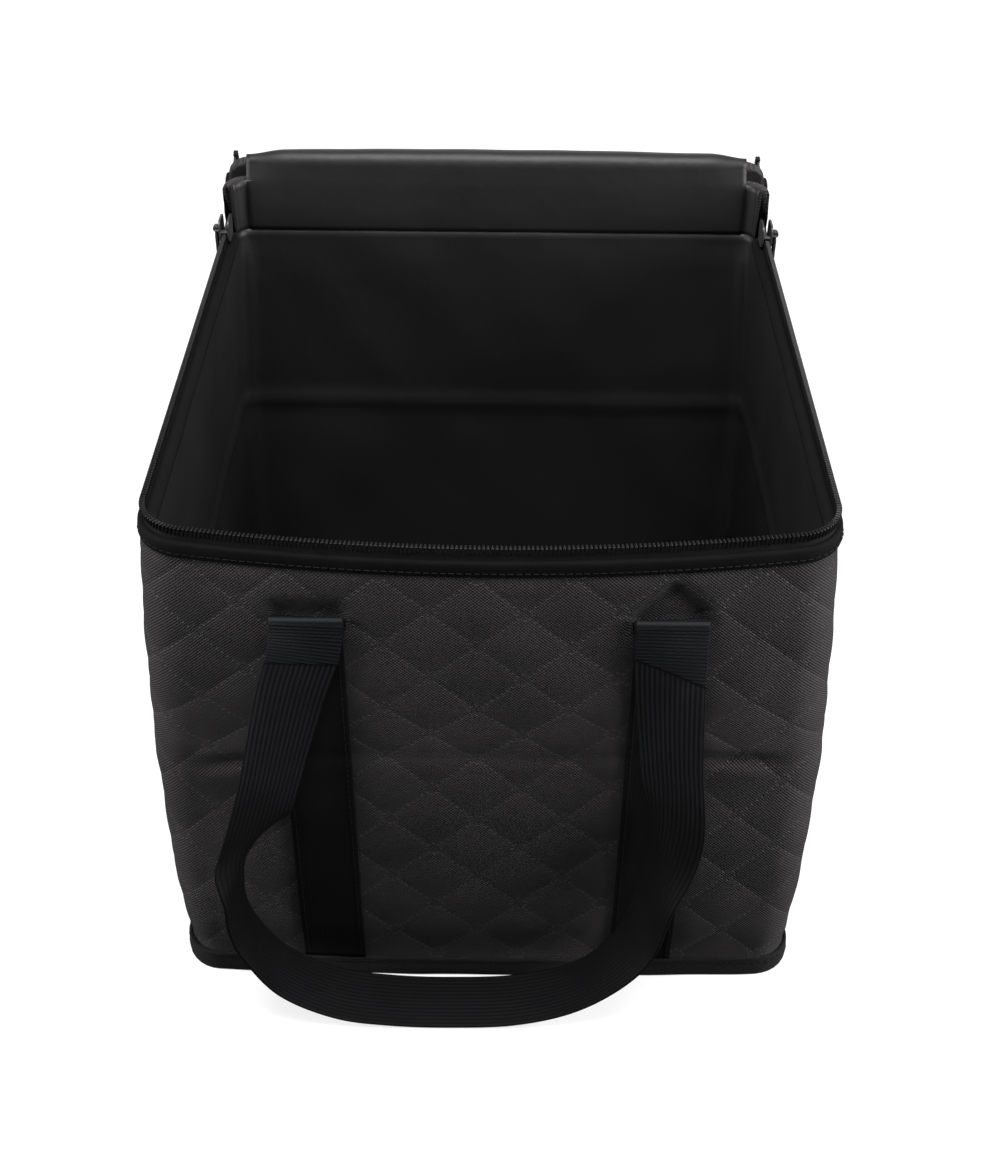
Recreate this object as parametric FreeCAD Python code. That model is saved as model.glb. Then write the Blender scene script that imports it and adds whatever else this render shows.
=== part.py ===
# Padded carry bag for square board game boxes, with a zipped lid that folds over the back, two webbing handles
# and two zip sliders. Sizes in millimetres. The origin is the middle of the base, +Z is up, and the front is -Y.
# Drawn with the lid thrown open behind the bag, the handles hanging and the sliders parked at the back.
import math
import os

import FreeCAD
import Part

os.makedirs("parts", exist_ok=True)
V = FreeCAD.Vector

# Overall size, measured on the outside of the fabric at the rim
bag_width = 308.0
bag_depth = 310.0
wall_top = 281.0
front_corner_radius = 25.0
front_corner_base = 17.0
back_corner_radius = 14.0

# The soft walls swell at half height, the sides more than the front and back, and the front wall bows outwards
# towards the rim
side_bulge = 8.2
depth_bulge = 2.0
front_bow_base = 2.0
front_bow_rim = 16.0

# Plies of the padded walls, base and lid
fabric = 1.2
padding = 4.0
film = 0.8
board = 2.4
ply_gap = 0.15

# Base binding and rim hem
binding_height = 13.0
binding_thickness = 2.2
binding_round = 1.0
hem_height = 6.5
hem_thickness = 0.8

# Zip: two coils on tapes, drawn a little apart so that the slider's wedge passes between them
zip_inset = 1.6
tape_thickness = 0.7
tape_height = 3.0
coil_thickness = 2.8
coil_height = 4.0
coil_spacing = 2.0
stop_length = 1.6

# Lid, its skirt and its hinge
riser_height = 31.0
skirt_thickness = 1.2
lid_clearance = 0.5
lid_binding_thickness = 1.6
lid_binding_depth = 3.0
lid_binding_rise = 0.9
hinge_standoff = 1.5
hinge_tape = 1.2
hinge_tape_radius = 5.0
lid_open_lean = 20.0

# Webbing of the bands and handles
webbing_width = 32.0
webbing_thickness = 1.8
webbing_spacing = 160.0
handle_height = 248.5
handle_standoff = 2.3
handle_clearance = 2.3
handle_bow = 5.0
handle_end_pull = 1.0
floor_clearance = 1.2

# Zip sliders and pull tabs
slider_length = 14.0
slider_plate = 1.2
slider_clearance = 0.4
slider_edge = 1.6
slider_lip = 0.8
slider_post_length = 3.0
slider_park = 8.5
bail_radius = 0.7
bail_length = 9.2
bail_foot = 1.2
pull_clearance = 0.25
eye_wall = 0.95
eye_length = 5.0
pull_length = 22.0
pull_width = 6.0
pull_thickness = 1.4

# Share of the wall's height, share of the bulge and share of the way from the base bow to the rim bow, from the
# top of the base binding upwards
WALL_STATIONS = (
    (binding_height / wall_top, 0.50, 0.04),
    (0.12, 0.80, 0.12),
    (0.25, 0.93, 0.30),
    (0.50, 1.00, 0.60),
    (0.75, 0.59, 0.85),
    (1.00, 0.00, 1.00),
)

# Hanging handle, from the left end to the right end: place across in half spacings, share of the way out from the
# wall to the run in front of the base, share of the bow past that run, share of the drop to the floor, and turn of
# the webbing's width in degrees from sideways towards the front.
FRONT_ROUTE = (
    (-1.00, 0.00, 0.00, 0.000, 0.0),
    (-1.02, 0.29, 0.00, 0.059, 8.0),
    (-1.10, 0.63, 0.00, 0.144, 16.0),
    (-1.19, 0.95, 0.00, 0.258, 25.0),
    (-1.27, 1.00, 0.36, 0.363, 33.0),
    (-1.36, 1.00, 0.72, 0.465, 43.0),
    (-1.44, 1.00, 0.96, 0.530, 58.0),
    (-1.50, 1.00, 1.02, 0.591, 76.0),
    (-1.53, 1.00, 0.92, 0.688, 84.0),
    (-1.49, 1.00, 0.68, 0.781, 90.0),
    (-1.30, 1.00, 0.46, 0.895, 90.0),
    (-0.97, 1.00, 0.32, 0.968, 90.0),
    (-0.62, 1.00, 0.18, 0.994, 90.0),
    (-0.23, 1.00, 0.12, 1.000, 90.0),
    (0.19, 1.00, 0.12, 0.990, 88.0),
    (0.56, 1.00, 0.22, 0.944, 88.0),
    (0.82, 1.00, 0.42, 0.856, 99.0),
    (0.96, 1.00, 0.62, 0.753, 113.0),
    (1.04, 1.00, 0.76, 0.607, 124.0),
    (1.08, 1.00, 0.72, 0.497, 134.0),
    (1.08, 1.00, 0.52, 0.400, 142.0),
    (1.04, 1.00, 0.12, 0.270, 151.0),
    (1.01, 0.72, 0.00, 0.140, 162.0),
    (1.00, 0.33, 0.00, 0.055, 174.0),
    (1.00, 0.00, 0.00, 0.000, 180.0),
)

# The back handle hangs evenly between the wall and the open lid: its left half, and the same mirrored.
BACK_HALF_ROUTE = (
    (-1.00, 0.00, 0.00, 0.000, 0.0),
    (-1.02, 0.10, 0.00, 0.080, 3.0),
    (-1.08, 0.28, 0.00, 0.190, 8.0),
    (-1.16, 0.50, 0.00, 0.310, 16.0),
    (-1.24, 0.72, 0.00, 0.430, 30.0),
    (-1.30, 0.92, 0.00, 0.550, 55.0),
    (-1.30, 1.00, 0.00, 0.680, 76.0),
    (-1.20, 1.00, 0.00, 0.800, 86.0),
    (-1.00, 1.00, 0.00, 0.895, 90.0),
    (-0.62, 1.00, 0.00, 0.972, 90.0),
    (-0.20, 1.00, 0.00, 1.000, 90.0),
)
BACK_ROUTE = BACK_HALF_ROUTE + tuple(
    (-across, out, bow, drop, 180.0 - turn) for across, out, bow, drop, turn in reversed(BACK_HALF_ROUTE)
)
HANDLE_SECTIONS = 72

# Heights and depths that follow from the sizes above
shell = fabric + ply_gap + padding + ply_gap + film
hem_top = wall_top + ply_gap + hem_thickness
rim_tape_top = hem_top + ply_gap + tape_height
rim_coil_top = rim_tape_top + ply_gap + coil_height
lid_coil_bottom = rim_coil_top + coil_spacing
lid_tape_bottom = lid_coil_bottom + coil_height + ply_gap
lid_skirt_bottom = lid_tape_bottom + tape_height + ply_gap
riser_top = wall_top + ply_gap + riser_height
lid_bottom = riser_top + lid_clearance
lid_padding_bottom = lid_bottom + film + ply_gap
lid_outer_bottom = lid_padding_bottom + padding + ply_gap
lid_top = lid_outer_bottom + fabric
base_padding_bottom = fabric + ply_gap
base_board_bottom = base_padding_bottom + padding + ply_gap
base_top = base_board_bottom + board
lining_bottom = base_top + ply_gap
corner_start = bag_depth / 2 - back_corner_radius
zip_end = corner_start - stop_length - 2 * ply_gap
hinge_axis = V(0, bag_depth / 2 + hinge_standoff, lid_top)
lid_swing = 270.0 - lid_open_lean
REACH = 2 * (bag_width + bag_depth + lid_top)


def block(x_low, x_high, y_low, y_high, z_low, z_high):
    return Part.makeBox(x_high - x_low, y_high - y_low, z_high - z_low, V(x_low, y_low, z_low))


def slab(z_low, z_high):
    return block(-REACH, REACH, -REACH, REACH, z_low, z_high)


def save(name, shape):
    shape.exportStep("parts/" + name + ".step")


def arc_about(centre, radius, start, end, z):
    # Arc on a circle about a centre, from one angle to another in degrees
    points = []
    for angle in (start, (start + end) / 2, end):
        turn = math.radians(angle)
        points.append(V(centre.x + radius * math.cos(turn), centre.y + radius * math.sin(turn), z))
    return Part.Arc(*points).toShape()


def outline(swell, bow_share, inset, z):
    # Plan of the bag at one height: straight sides and back, rounded corners and a front that bows outwards, with
    # front corners that open out towards the rim as the bow does
    half_width = bag_width / 2 + swell * side_bulge
    half_depth = bag_depth / 2 + swell * depth_bulge
    bow = front_bow_base + bow_share * (front_bow_rim - front_bow_base)
    bow_radius = (half_width ** 2 + bow ** 2) / (2 * bow)
    bow_centre = V(0, bow_radius - half_depth - bow, 0)
    front_corner = front_corner_base + bow_share * (front_corner_radius - front_corner_base)
    across = half_width - front_corner
    along = math.sqrt((bow_radius - front_corner) ** 2 - across ** 2)
    corner_y = bow_centre.y - along
    lean = math.degrees(math.atan2(across, along))
    front_left = V(-across, corner_y, 0)
    front_right = V(across, corner_y, 0)
    back_x = half_width - back_corner_radius
    back_y = half_depth - back_corner_radius
    side = half_width - inset
    back = half_depth - inset
    front_round = front_corner - inset
    back_round = back_corner_radius - inset
    edges = [
        Part.LineSegment(V(-side, back_y, z), V(-side, corner_y, z)).toShape(),
        arc_about(front_left, front_round, 180, 270 - lean, z),
        arc_about(bow_centre, bow_radius - inset, 270 - lean, 270 + lean, z),
        arc_about(front_right, front_round, 270 + lean, 360, z),
        Part.LineSegment(V(side, corner_y, z), V(side, back_y, z)).toShape(),
        arc_about(V(back_x, back_y, 0), back_round, 0, 90, z),
        Part.LineSegment(V(back_x, back, z), V(-back_x, back, z)).toShape(),
        arc_about(V(-back_x, back_y, 0), back_round, 90, 180, z),
    ]
    return Part.Wire(edges)


def front_face(across, height):
    # How far forward the outside of the front wall stands at a place across and a height
    share = height / wall_top
    rows = ((0.0,) + WALL_STATIONS[0][1:],) + WALL_STATIONS
    for low, high in zip(rows, rows[1:]):
        if share <= high[0]:
            break
    part = (share - low[0]) / (high[0] - low[0])
    reach = []
    for _, swell, bow_share in (low, high):
        half_width = bag_width / 2 + swell * side_bulge
        bow = front_bow_base + bow_share * (front_bow_rim - front_bow_base)
        radius = (half_width ** 2 + bow ** 2) / (2 * bow)
        drop = radius - math.sqrt(radius ** 2 - across ** 2)
        reach.append(bag_depth / 2 + swell * depth_bulge + bow - drop)
    return reach[0] + part * (reach[1] - reach[0])


def body(inset):
    # Solid inside the walls' surface at a depth below the outside of the fabric, taller than the bag at both ends
    first, last = WALL_STATIONS[0], WALL_STATIONS[-1]
    wires = [outline(first[1], first[2], inset, -REACH / 20)]
    for share, swell, bow_share in WALL_STATIONS:
        wires.append(outline(swell, bow_share, inset, share * wall_top))
    wires.append(outline(last[1], last[2], inset, lid_top + REACH / 20))
    return Part.makeLoft(wires, True, True)


def ring(outer, inner, z_low, z_high):
    return body(outer).cut(body(inner)).common(slab(z_low, z_high))


def rim_plate(inset, z_low, z_high):
    # Flat plate with the plan of the rim
    wire = outline(WALL_STATIONS[-1][1], WALL_STATIONS[-1][2], inset, z_low)
    return Part.Face(wire).extrude(V(0, 0, z_high - z_low))


def rim_strip(outer, inner, z_low, z_high, y_end):
    # Strip along both sides and the front of the rim that ends at a place short of the back corners
    strip = rim_plate(outer, z_low, z_high).cut(rim_plate(inner, z_low, z_high))
    return strip.common(block(-REACH, REACH, -REACH, y_end, z_low, z_high))


# Base: quilted panel, padding, stiffening board and lining
save("base_outer_panel", body(0).common(slab(0, fabric)))
inside_fabric = fabric + ply_gap
save("base_padding", body(inside_fabric).common(slab(base_padding_bottom, base_padding_bottom + padding)))
save("base_board", body(inside_fabric).common(slab(base_board_bottom, base_top)))
save("base_lining", body(shell + ply_gap).common(slab(lining_bottom, lining_bottom + film)))

# Binding rolled round the base seam, with rounded outer edges
first = WALL_STATIONS[0]
binding_outer = Part.Face(outline(first[1], first[2], -ply_gap - binding_thickness, 0))
binding_inner = Part.Face(outline(first[1], first[2], -ply_gap, 0))
binding = binding_outer.extrude(V(0, 0, binding_height))
rolled = []
for edge in binding.Edges:
    box = edge.BoundBox
    if box.ZLength < binding_height / 2:
        rolled.append(edge)
binding = binding.makeFillet(binding_round, rolled)
save("base_edge_binding", binding.cut(binding_inner.extrude(V(0, 0, binding_height))))

# Wall: quilted outer band, padding boards with padded corners between them, and film lining
save("wall_outer_fabric", ring(0, fabric, fabric + ply_gap, wall_top))
wall_padding = ring(inside_fabric, inside_fabric + padding, lining_bottom, wall_top)
front_x = bag_width / 2 - front_corner_radius
front_y = -(bag_depth / 2 - front_corner_radius)
back_x = bag_width / 2 - back_corner_radius
gap = ply_gap / 2
boards = {
    "front_wall_padding": block(-front_x + gap, front_x - gap, -REACH, front_y, 0, REACH),
    "back_wall_padding": block(-back_x + gap, back_x - gap, corner_start, REACH, 0, REACH),
    "left_wall_padding": block(-REACH, -front_x, front_y + gap, corner_start - gap, 0, REACH),
    "right_wall_padding": block(front_x, REACH, front_y + gap, corner_start - gap, 0, REACH),
}
for name, cutter in boards.items():
    save(name, wall_padding.common(cutter))
corners = []
for side in (-1, 1):
    for limit, y_low, y_high in ((front_x, -REACH, front_y - gap), (back_x, corner_start + gap, REACH)):
        x_low, x_high = sorted((side * (limit + gap), side * REACH))
        corners.append(wall_padding.common(block(x_low, x_high, y_low, y_high, 0, REACH)))
save("corner_padding", Part.makeCompound(corners))
save("wall_lining", ring(shell - film, shell, lining_bottom, wall_top))

# Hem folded over the top edge on the sides and the front
hem_outside = ring(-ply_gap - hem_thickness, -ply_gap, hem_top - hem_height, wall_top + ply_gap)
hem_over = ring(-ply_gap - hem_thickness, shell, wall_top + ply_gap, hem_top)
hem = hem_outside.fuse(hem_over).removeSplitter()
save("rim_hem", hem.common(block(-REACH, REACH, -REACH, corner_start - ply_gap, 0, REACH)))

# Rim half of the zip with its two end stops
half_tape = tape_thickness / 2
half_coil = coil_thickness / 2
tape_bottom = hem_top + ply_gap
save("rim_zip_tape", rim_strip(zip_inset - half_tape, zip_inset + half_tape, tape_bottom, rim_tape_top, zip_end))
save("rim_zip_coil",
     rim_strip(zip_inset - half_coil, zip_inset + half_coil, rim_tape_top + ply_gap, rim_coil_top, zip_end))
stops = []
for side in (-1, 1):
    zip_x = side * (bag_width / 2 - zip_inset)
    stops.append(block(zip_x - half_coil, zip_x + half_coil, zip_end + ply_gap, zip_end + ply_gap + stop_length,
                       tape_bottom, rim_coil_top))
save("zip_end_stops", Part.makeCompound(stops))

# Back riser: the padded back edge that carries the lid
riser = ring(0, shell, wall_top + ply_gap, riser_top)
save("back_riser", riser.common(block(-REACH, REACH, corner_start, REACH, 0, REACH)))


# Lid, drawn shut and then swung open about its hinge
def open_lid(shape):
    opened = shape.copy()
    opened.rotate(hinge_axis, V(1, 0, 0), -lid_swing)
    return opened


save("lid_outer_panel", open_lid(rim_plate(0, lid_outer_bottom, lid_top)))
save("lid_padding", open_lid(rim_plate(inside_fabric, lid_padding_bottom, lid_padding_bottom + padding)))
save("lid_lining", open_lid(rim_plate(inside_fabric, lid_bottom, lid_bottom + film)))
half_skirt = skirt_thickness / 2
skirt_top = lid_bottom - ply_gap
save("lid_skirt",
     open_lid(rim_strip(zip_inset - half_skirt, zip_inset + half_skirt, lid_skirt_bottom, skirt_top, zip_end)))
binding_out = -ply_gap - lid_binding_thickness
binding_side = rim_strip(binding_out, -ply_gap, skirt_top, lid_top + lid_binding_rise, zip_end)
binding_under = rim_strip(binding_out, zip_inset - half_skirt - ply_gap, skirt_top - lid_binding_depth, skirt_top,
                          zip_end)
save("lid_edge_binding", open_lid(binding_side.fuse(binding_under).removeSplitter()))
save("lid_zip_tape",
     open_lid(rim_strip(zip_inset - half_tape, zip_inset + half_tape, lid_tape_bottom, lid_tape_bottom + tape_height,
                        zip_end)))
save("lid_zip_coil",
     open_lid(rim_strip(zip_inset - half_coil, zip_inset + half_coil, lid_coil_bottom, lid_coil_bottom + coil_height,
                        zip_end)))

# Hinge tape: stands on the riser and rolls over the hinge line to the back edge of the open lid
tape_out = hinge_tape_radius + hinge_tape
tape_end = hinge_standoff + inside_fabric - 2 * ply_gap
tape_stop = lid_open_lean - math.degrees(math.asin(tape_end / tape_out))


def hinge_point(radius, angle):
    turn = math.radians(angle)
    return V(0, hinge_axis.y + radius * math.cos(turn), hinge_axis.z + radius * math.sin(turn))


middle = (180 + tape_stop) / 2
foot = riser_top + ply_gap
tape_edges = [
    Part.LineSegment(V(0, hinge_axis.y - tape_out, foot), hinge_point(tape_out, 180)).toShape(),
    Part.Arc(hinge_point(tape_out, 180), hinge_point(tape_out, middle), hinge_point(tape_out, tape_stop)).toShape(),
    Part.LineSegment(hinge_point(tape_out, tape_stop), hinge_point(hinge_tape_radius, tape_stop)).toShape(),
    Part.Arc(hinge_point(hinge_tape_radius, tape_stop), hinge_point(hinge_tape_radius, middle),
             hinge_point(hinge_tape_radius, 180)).toShape(),
    Part.LineSegment(hinge_point(hinge_tape_radius, 180), V(0, hinge_axis.y - hinge_tape_radius, foot)).toShape(),
    Part.LineSegment(V(0, hinge_axis.y - hinge_tape_radius, foot), V(0, hinge_axis.y - tape_out, foot)).toShape(),
]
hinge_strip = Part.Face(Part.Wire(tape_edges)).extrude(V(2 * back_x, 0, 0))
hinge_strip.translate(V(-back_x, 0, 0))
save("lid_hinge_tape", hinge_strip)

# Sewn webbing bands on the front and back walls
roll_radius = (webbing_thickness + 2 * ply_gap) / 2 + webbing_thickness / 2
band_top = handle_height - roll_radius - 2 * ply_gap
band_ring = ring(-ply_gap - webbing_thickness, -ply_gap, binding_height + ply_gap, band_top)
for face, y_low, y_high in (("front", -REACH, 0), ("back", 0, REACH)):
    for label, side in (("left", -1), ("right", 1)):
        middle_x = side * webbing_spacing / 2
        cutter = block(middle_x - webbing_width / 2, middle_x + webbing_width / 2, y_low, y_high, 0, REACH)
        save(face + "_" + label + "_webbing_band", band_ring.common(cutter))


# Carry handles: webbing that hangs from a rolled fold at each end, turns on edge and lies along the floor
def handle_section(point, along, turn):
    # Cross-section of the webbing at a point of the route, square to the way it runs
    sideways = V(-math.cos(math.radians(turn)), -math.sin(math.radians(turn)), 0)
    sideways = sideways - along * sideways.dot(along)
    sideways.normalize()
    flat = along.cross(sideways)
    corners = []
    for wide, thick in ((-1, -1), (1, -1), (1, 1), (-1, 1)):
        corners.append(point + sideways * (wide * webbing_width / 2) + flat * (thick * webbing_thickness / 2))
    return Part.makePolygon(corners + corners[:1])


def handle(axis_y, base_y, way):
    # Handle on a way it hangs, in front of a hinge line and of the base, both at distances from the middle of the bag
    lowest = floor_clearance + webbing_thickness / 2
    leg_y = axis_y + roll_radius - ply_gap - webbing_thickness / 2
    run_y = base_y + ply_gap + binding_thickness + handle_clearance + webbing_width / 2
    points = []
    for across, out, bow, drop, _ in way:
        height = lowest + (handle_height - lowest) * (1 - drop)
        away = leg_y + out * (run_y - leg_y) + bow * handle_bow
        points.append(V(across * webbing_spacing / 2, -away, height))
    route = Part.BSplineCurve()
    pull = V(0, 0, handle_end_pull)
    route.interpolate(Points=points, InitialTangent=-pull, FinalTangent=pull)
    marks = [route.parameter(point) for point in points]
    sunk = V(0, 0, roll_radius / 5)
    wires = [handle_section(points[0] + sunk, -pull.normalize(), way[0][4])]
    for step in range(HANDLE_SECTIONS + 1):
        at = marks[0] + (marks[-1] - marks[0]) * step / HANDLE_SECTIONS
        span = 0
        while span < len(marks) - 2 and at > marks[span + 1]:
            span += 1
        share = (at - marks[span]) / (marks[span + 1] - marks[span])
        turn = way[span][4] + share * (way[span + 1][4] - way[span][4])
        along = route.tangent(at)[0]
        wires.append(handle_section(route.value(at), along, turn))
    wires.append(handle_section(points[-1] + sunk, pull, way[-1][4]))
    rolls = []
    for side in (-1, 1):
        start = V(side * webbing_spacing / 2 - webbing_width / 2, -axis_y, handle_height)
        rolls.append(Part.makeCylinder(roll_radius, webbing_width, start, V(1, 0, 0)))
    return Part.makeLoft(wires, True, True).fuse(rolls)


webbing_inner_edge = (webbing_spacing - webbing_width) / 2
front_axis_y = front_face(webbing_inner_edge, handle_height) + handle_standoff
save("front_handle_webbing", handle(front_axis_y, front_face(0, 0), FRONT_ROUTE))
back_swell = WALL_STATIONS[-2][1] * (1 - handle_height / wall_top) / (1 - WALL_STATIONS[-2][0])
back_axis_y = bag_depth / 2 + back_swell * depth_bulge + handle_standoff
back_handle = handle(back_axis_y, bag_depth / 2 + WALL_STATIONS[0][1] * depth_bulge, BACK_ROUTE)
back_handle.rotate(V(0, 0, 0), V(0, 0, 1), 180)
save("back_handle_webbing", back_handle)

# Zip sliders: two plates joined by a wedge between the coils, with a bail outside that carries the pull tab
slider_y = zip_end - slider_park
channel = half_coil + slider_clearance
plate_out = channel + slider_plate
slider_bottom = tape_bottom + slider_edge
slider_top = lid_coil_bottom + coil_height + slider_edge
bail_z = (rim_coil_top + lid_coil_bottom) / 2
eye_radius = bail_radius + pull_clearance + eye_wall
bail_out = plate_out + eye_radius + slider_clearance
plate_y = (slider_y - slider_length / 2, slider_y + slider_length / 2)
for label, side in (("left", -1), ("right", 1)):
    zip_x = side * (bag_width / 2 - zip_inset)

    def piece(near, far, y_low, y_high, z_low, z_high, zip_x=zip_x, side=side):
        # Block between two distances outside the line of the zip
        x_low, x_high = sorted((zip_x + side * near, zip_x + side * far))
        return block(x_low, x_high, y_low, y_high, z_low, z_high)

    slider = piece(channel, plate_out, plate_y[0], plate_y[1], slider_bottom, slider_top)
    slider = slider.fuse(piece(-plate_out, -channel, plate_y[0], plate_y[1], slider_bottom, slider_top))
    wedge = coil_spacing / 2 - slider_clearance
    post_end = plate_y[0] + slider_post_length
    slider = slider.fuse(piece(-channel, channel, plate_y[0], post_end, bail_z - wedge, bail_z + wedge))
    lip_in = half_tape + slider_clearance
    for way in (-1, 1):
        slider = slider.fuse(piece(way * lip_in, way * channel, plate_y[0], plate_y[1], slider_bottom,
                                   slider_bottom + slider_lip))
    for end in (-1, 1):
        foot_y = sorted((slider_y + end * bail_length / 2, slider_y + end * (bail_length / 2 - bail_foot)))
        slider = slider.fuse(piece(plate_out, bail_out, foot_y[0], foot_y[1], bail_z - bail_radius,
                                   bail_z + bail_radius))
    bail_start = V(zip_x + side * bail_out, slider_y - bail_length / 2, bail_z)
    slider = slider.fuse(Part.makeCylinder(bail_radius, bail_length, bail_start, V(0, 1, 0)))
    save(label + "_slider_body", slider.removeSplitter())

    eye_start = V(zip_x + side * bail_out, slider_y - eye_length / 2, bail_z)
    pull = Part.makeCylinder(eye_radius, eye_length, eye_start, V(0, 1, 0))
    tab_end = bail_z - pull_length
    tab = piece(bail_out - pull_thickness / 2, bail_out + pull_thickness / 2, slider_y - pull_width / 2,
                slider_y + pull_width / 2, tab_end + pull_width / 2, bail_z - eye_radius / 2)
    tip_start = V(zip_x + side * bail_out - pull_thickness / 2, slider_y, tab_end + pull_width / 2)
    tip = Part.makeCylinder(pull_width / 2, pull_thickness, tip_start, V(1, 0, 0))
    pull = pull.fuse(tab).fuse(tip).removeSplitter()
    bore = Part.makeCylinder(bail_radius + pull_clearance, pull_width, eye_start - V(0, 1, 0), V(0, 1, 0))
    save(label + "_pull_tab", pull.cut(bore))
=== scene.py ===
import bisect
import math

import bmesh
import bpy
from mathutils import Matrix, Vector, noise


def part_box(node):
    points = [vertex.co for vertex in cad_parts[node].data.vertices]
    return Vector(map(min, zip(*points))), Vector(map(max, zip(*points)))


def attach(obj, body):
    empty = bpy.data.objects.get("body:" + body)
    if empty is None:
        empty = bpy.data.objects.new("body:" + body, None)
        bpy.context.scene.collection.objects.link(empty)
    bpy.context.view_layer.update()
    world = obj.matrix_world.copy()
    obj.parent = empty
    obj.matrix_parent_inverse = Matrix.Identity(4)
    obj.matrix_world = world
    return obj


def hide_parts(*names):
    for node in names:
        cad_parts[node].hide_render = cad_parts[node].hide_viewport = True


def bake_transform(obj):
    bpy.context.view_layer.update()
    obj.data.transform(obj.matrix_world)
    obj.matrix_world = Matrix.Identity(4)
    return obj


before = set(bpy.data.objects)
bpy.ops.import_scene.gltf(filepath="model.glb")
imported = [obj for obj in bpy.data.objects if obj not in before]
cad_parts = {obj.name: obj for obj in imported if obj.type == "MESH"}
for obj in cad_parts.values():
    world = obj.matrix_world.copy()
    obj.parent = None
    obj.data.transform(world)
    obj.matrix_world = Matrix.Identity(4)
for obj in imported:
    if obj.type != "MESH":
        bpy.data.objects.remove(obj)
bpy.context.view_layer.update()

bpy.context.scene.view_settings.view_transform = "Standard"


# Camera: stands in front of the bag at a standing person's reach and looks down into it,
# with a slight roll, at the photograph's angle and focal length.
PHOTO_HEIGHT = 1165
FOCAL_PIXELS = 1653.0
EYE = Vector((0.0045, -0.730, 0.701))
LOOK_DOWN = math.radians(37.53)
ROLL = math.radians(0.6)

camera_data = bpy.data.cameras.new("front_camera")
camera_data.sensor_width = 36.0
camera_data.lens = FOCAL_PIXELS / PHOTO_HEIGHT * camera_data.sensor_width
camera_data.clip_start = 0.01
camera = bpy.data.objects.new("front_camera", camera_data)
camera.location = EYE
camera_turn = Matrix.Rotation(math.pi / 2 - LOOK_DOWN, 3, "X") @ Matrix.Rotation(ROLL, 3, "Z")
camera.rotation_euler = camera_turn.to_euler()
bpy.context.collection.objects.link(camera)
bpy.context.scene.camera = camera


# Studio: one pale board under the bag, a broad soft box over the front and fills at the sides.
# The board shows white to the eye, bounces less light than it shows, and keeps the bag's shadow.
FLOOR_SIZE = 8.0
FLOOR_WHITE = (0.92, 0.92, 0.92, 1.0)
FLOOR_BOUNCE = (0.04, 0.04, 0.04, 1.0)
SHOWN_WHITE = 0.72
ROOM_LIGHT = 0.045
LIT_PLACE = Vector((0.0, -0.05, 0.15))
SOFT_BOXES = (
    ("overhead_box", (0.0, -0.42, 1.85), 1.0, 64.0),
    ("front_box", (0.1, -1.60, 1.70), 1.2, 0.8),
    ("left_box", (-1.70, -0.30, 0.70), 1.2, 46.0),
    ("right_box", (1.65, -0.35, 0.70), 1.2, 66.0),
    ("back_box", (0.0, 1.90, 1.10), 1.2, 9.0),
)


def join(tree, kind, *feeds, out=0, **settings):
    """Adds a node, sets it up, and feeds its sockets in order with values or with other nodes' outputs."""
    node = tree.nodes.new(kind)
    for setting, value in settings.items():
        setattr(node, setting, value)
    for place, feed in enumerate(feeds):
        if isinstance(feed, bpy.types.NodeSocket):
            tree.links.new(feed, node.inputs[place])
        elif feed is not None:
            node.inputs[place].default_value = feed
    return node.outputs[out] if node.outputs else None


def new_finish(name):
    """Empty node material and its tree."""
    finish = bpy.data.materials.new(name)
    finish.use_nodes = True
    finish.node_tree.nodes.clear()
    return finish, finish.node_tree


def seen_rays(tree):
    """1 for what the eye sees straight on, 0 for light that bounces."""
    return tree.nodes.new("ShaderNodeLightPath").outputs["Is Camera Ray"]


board_finish, tree = new_finish("white_board")
seen = seen_rays(tree)
shown = join(tree, "ShaderNodeMath", seen, SHOWN_WHITE, operation="MULTIPLY")
white = join(tree, "ShaderNodeBsdfDiffuse", FLOOR_WHITE)
bounced = join(tree, "ShaderNodeBsdfDiffuse", FLOOR_BOUNCE)
matt = join(tree, "ShaderNodeMixShader", seen, bounced, white)
glow = join(tree, "ShaderNodeEmission", (1, 1, 1, 1), 1.0)
join(tree, "ShaderNodeOutputMaterial", join(tree, "ShaderNodeMixShader", shown, matt, glow))

board_form = bmesh.new()
bmesh.ops.create_grid(board_form, x_segments=4, y_segments=4, size=FLOOR_SIZE / 2)
board_mesh = bpy.data.meshes.new("studio_board")
board_form.to_mesh(board_mesh)
board_form.free()
board_mesh.materials.append(board_finish)
studio_board = bpy.data.objects.new("studio_board", board_mesh)
bpy.context.collection.objects.link(studio_board)

room = bpy.data.worlds.new("studio_room")
room.use_nodes = True
bpy.context.scene.world = room
tree = room.node_tree
tree.nodes.clear()
strength = join(tree, "ShaderNodeMapRange", seen_rays(tree), 0.0, 1.0, ROOM_LIGHT, 1.0)
join(tree, "ShaderNodeOutputWorld", join(tree, "ShaderNodeBackground", (1, 1, 1, 1), strength))

for name, place, size, power in SOFT_BOXES:
    lamp = bpy.data.lights.new(name, "AREA")
    lamp.size = size
    lamp.energy = power
    soft_box = bpy.data.objects.new(name, lamp)
    soft_box.location = place
    soft_box.rotation_euler = (LIT_PLACE - Vector(place)).to_track_quat("-Z", "Y").to_euler()
    bpy.context.collection.objects.link(soft_box)


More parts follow.
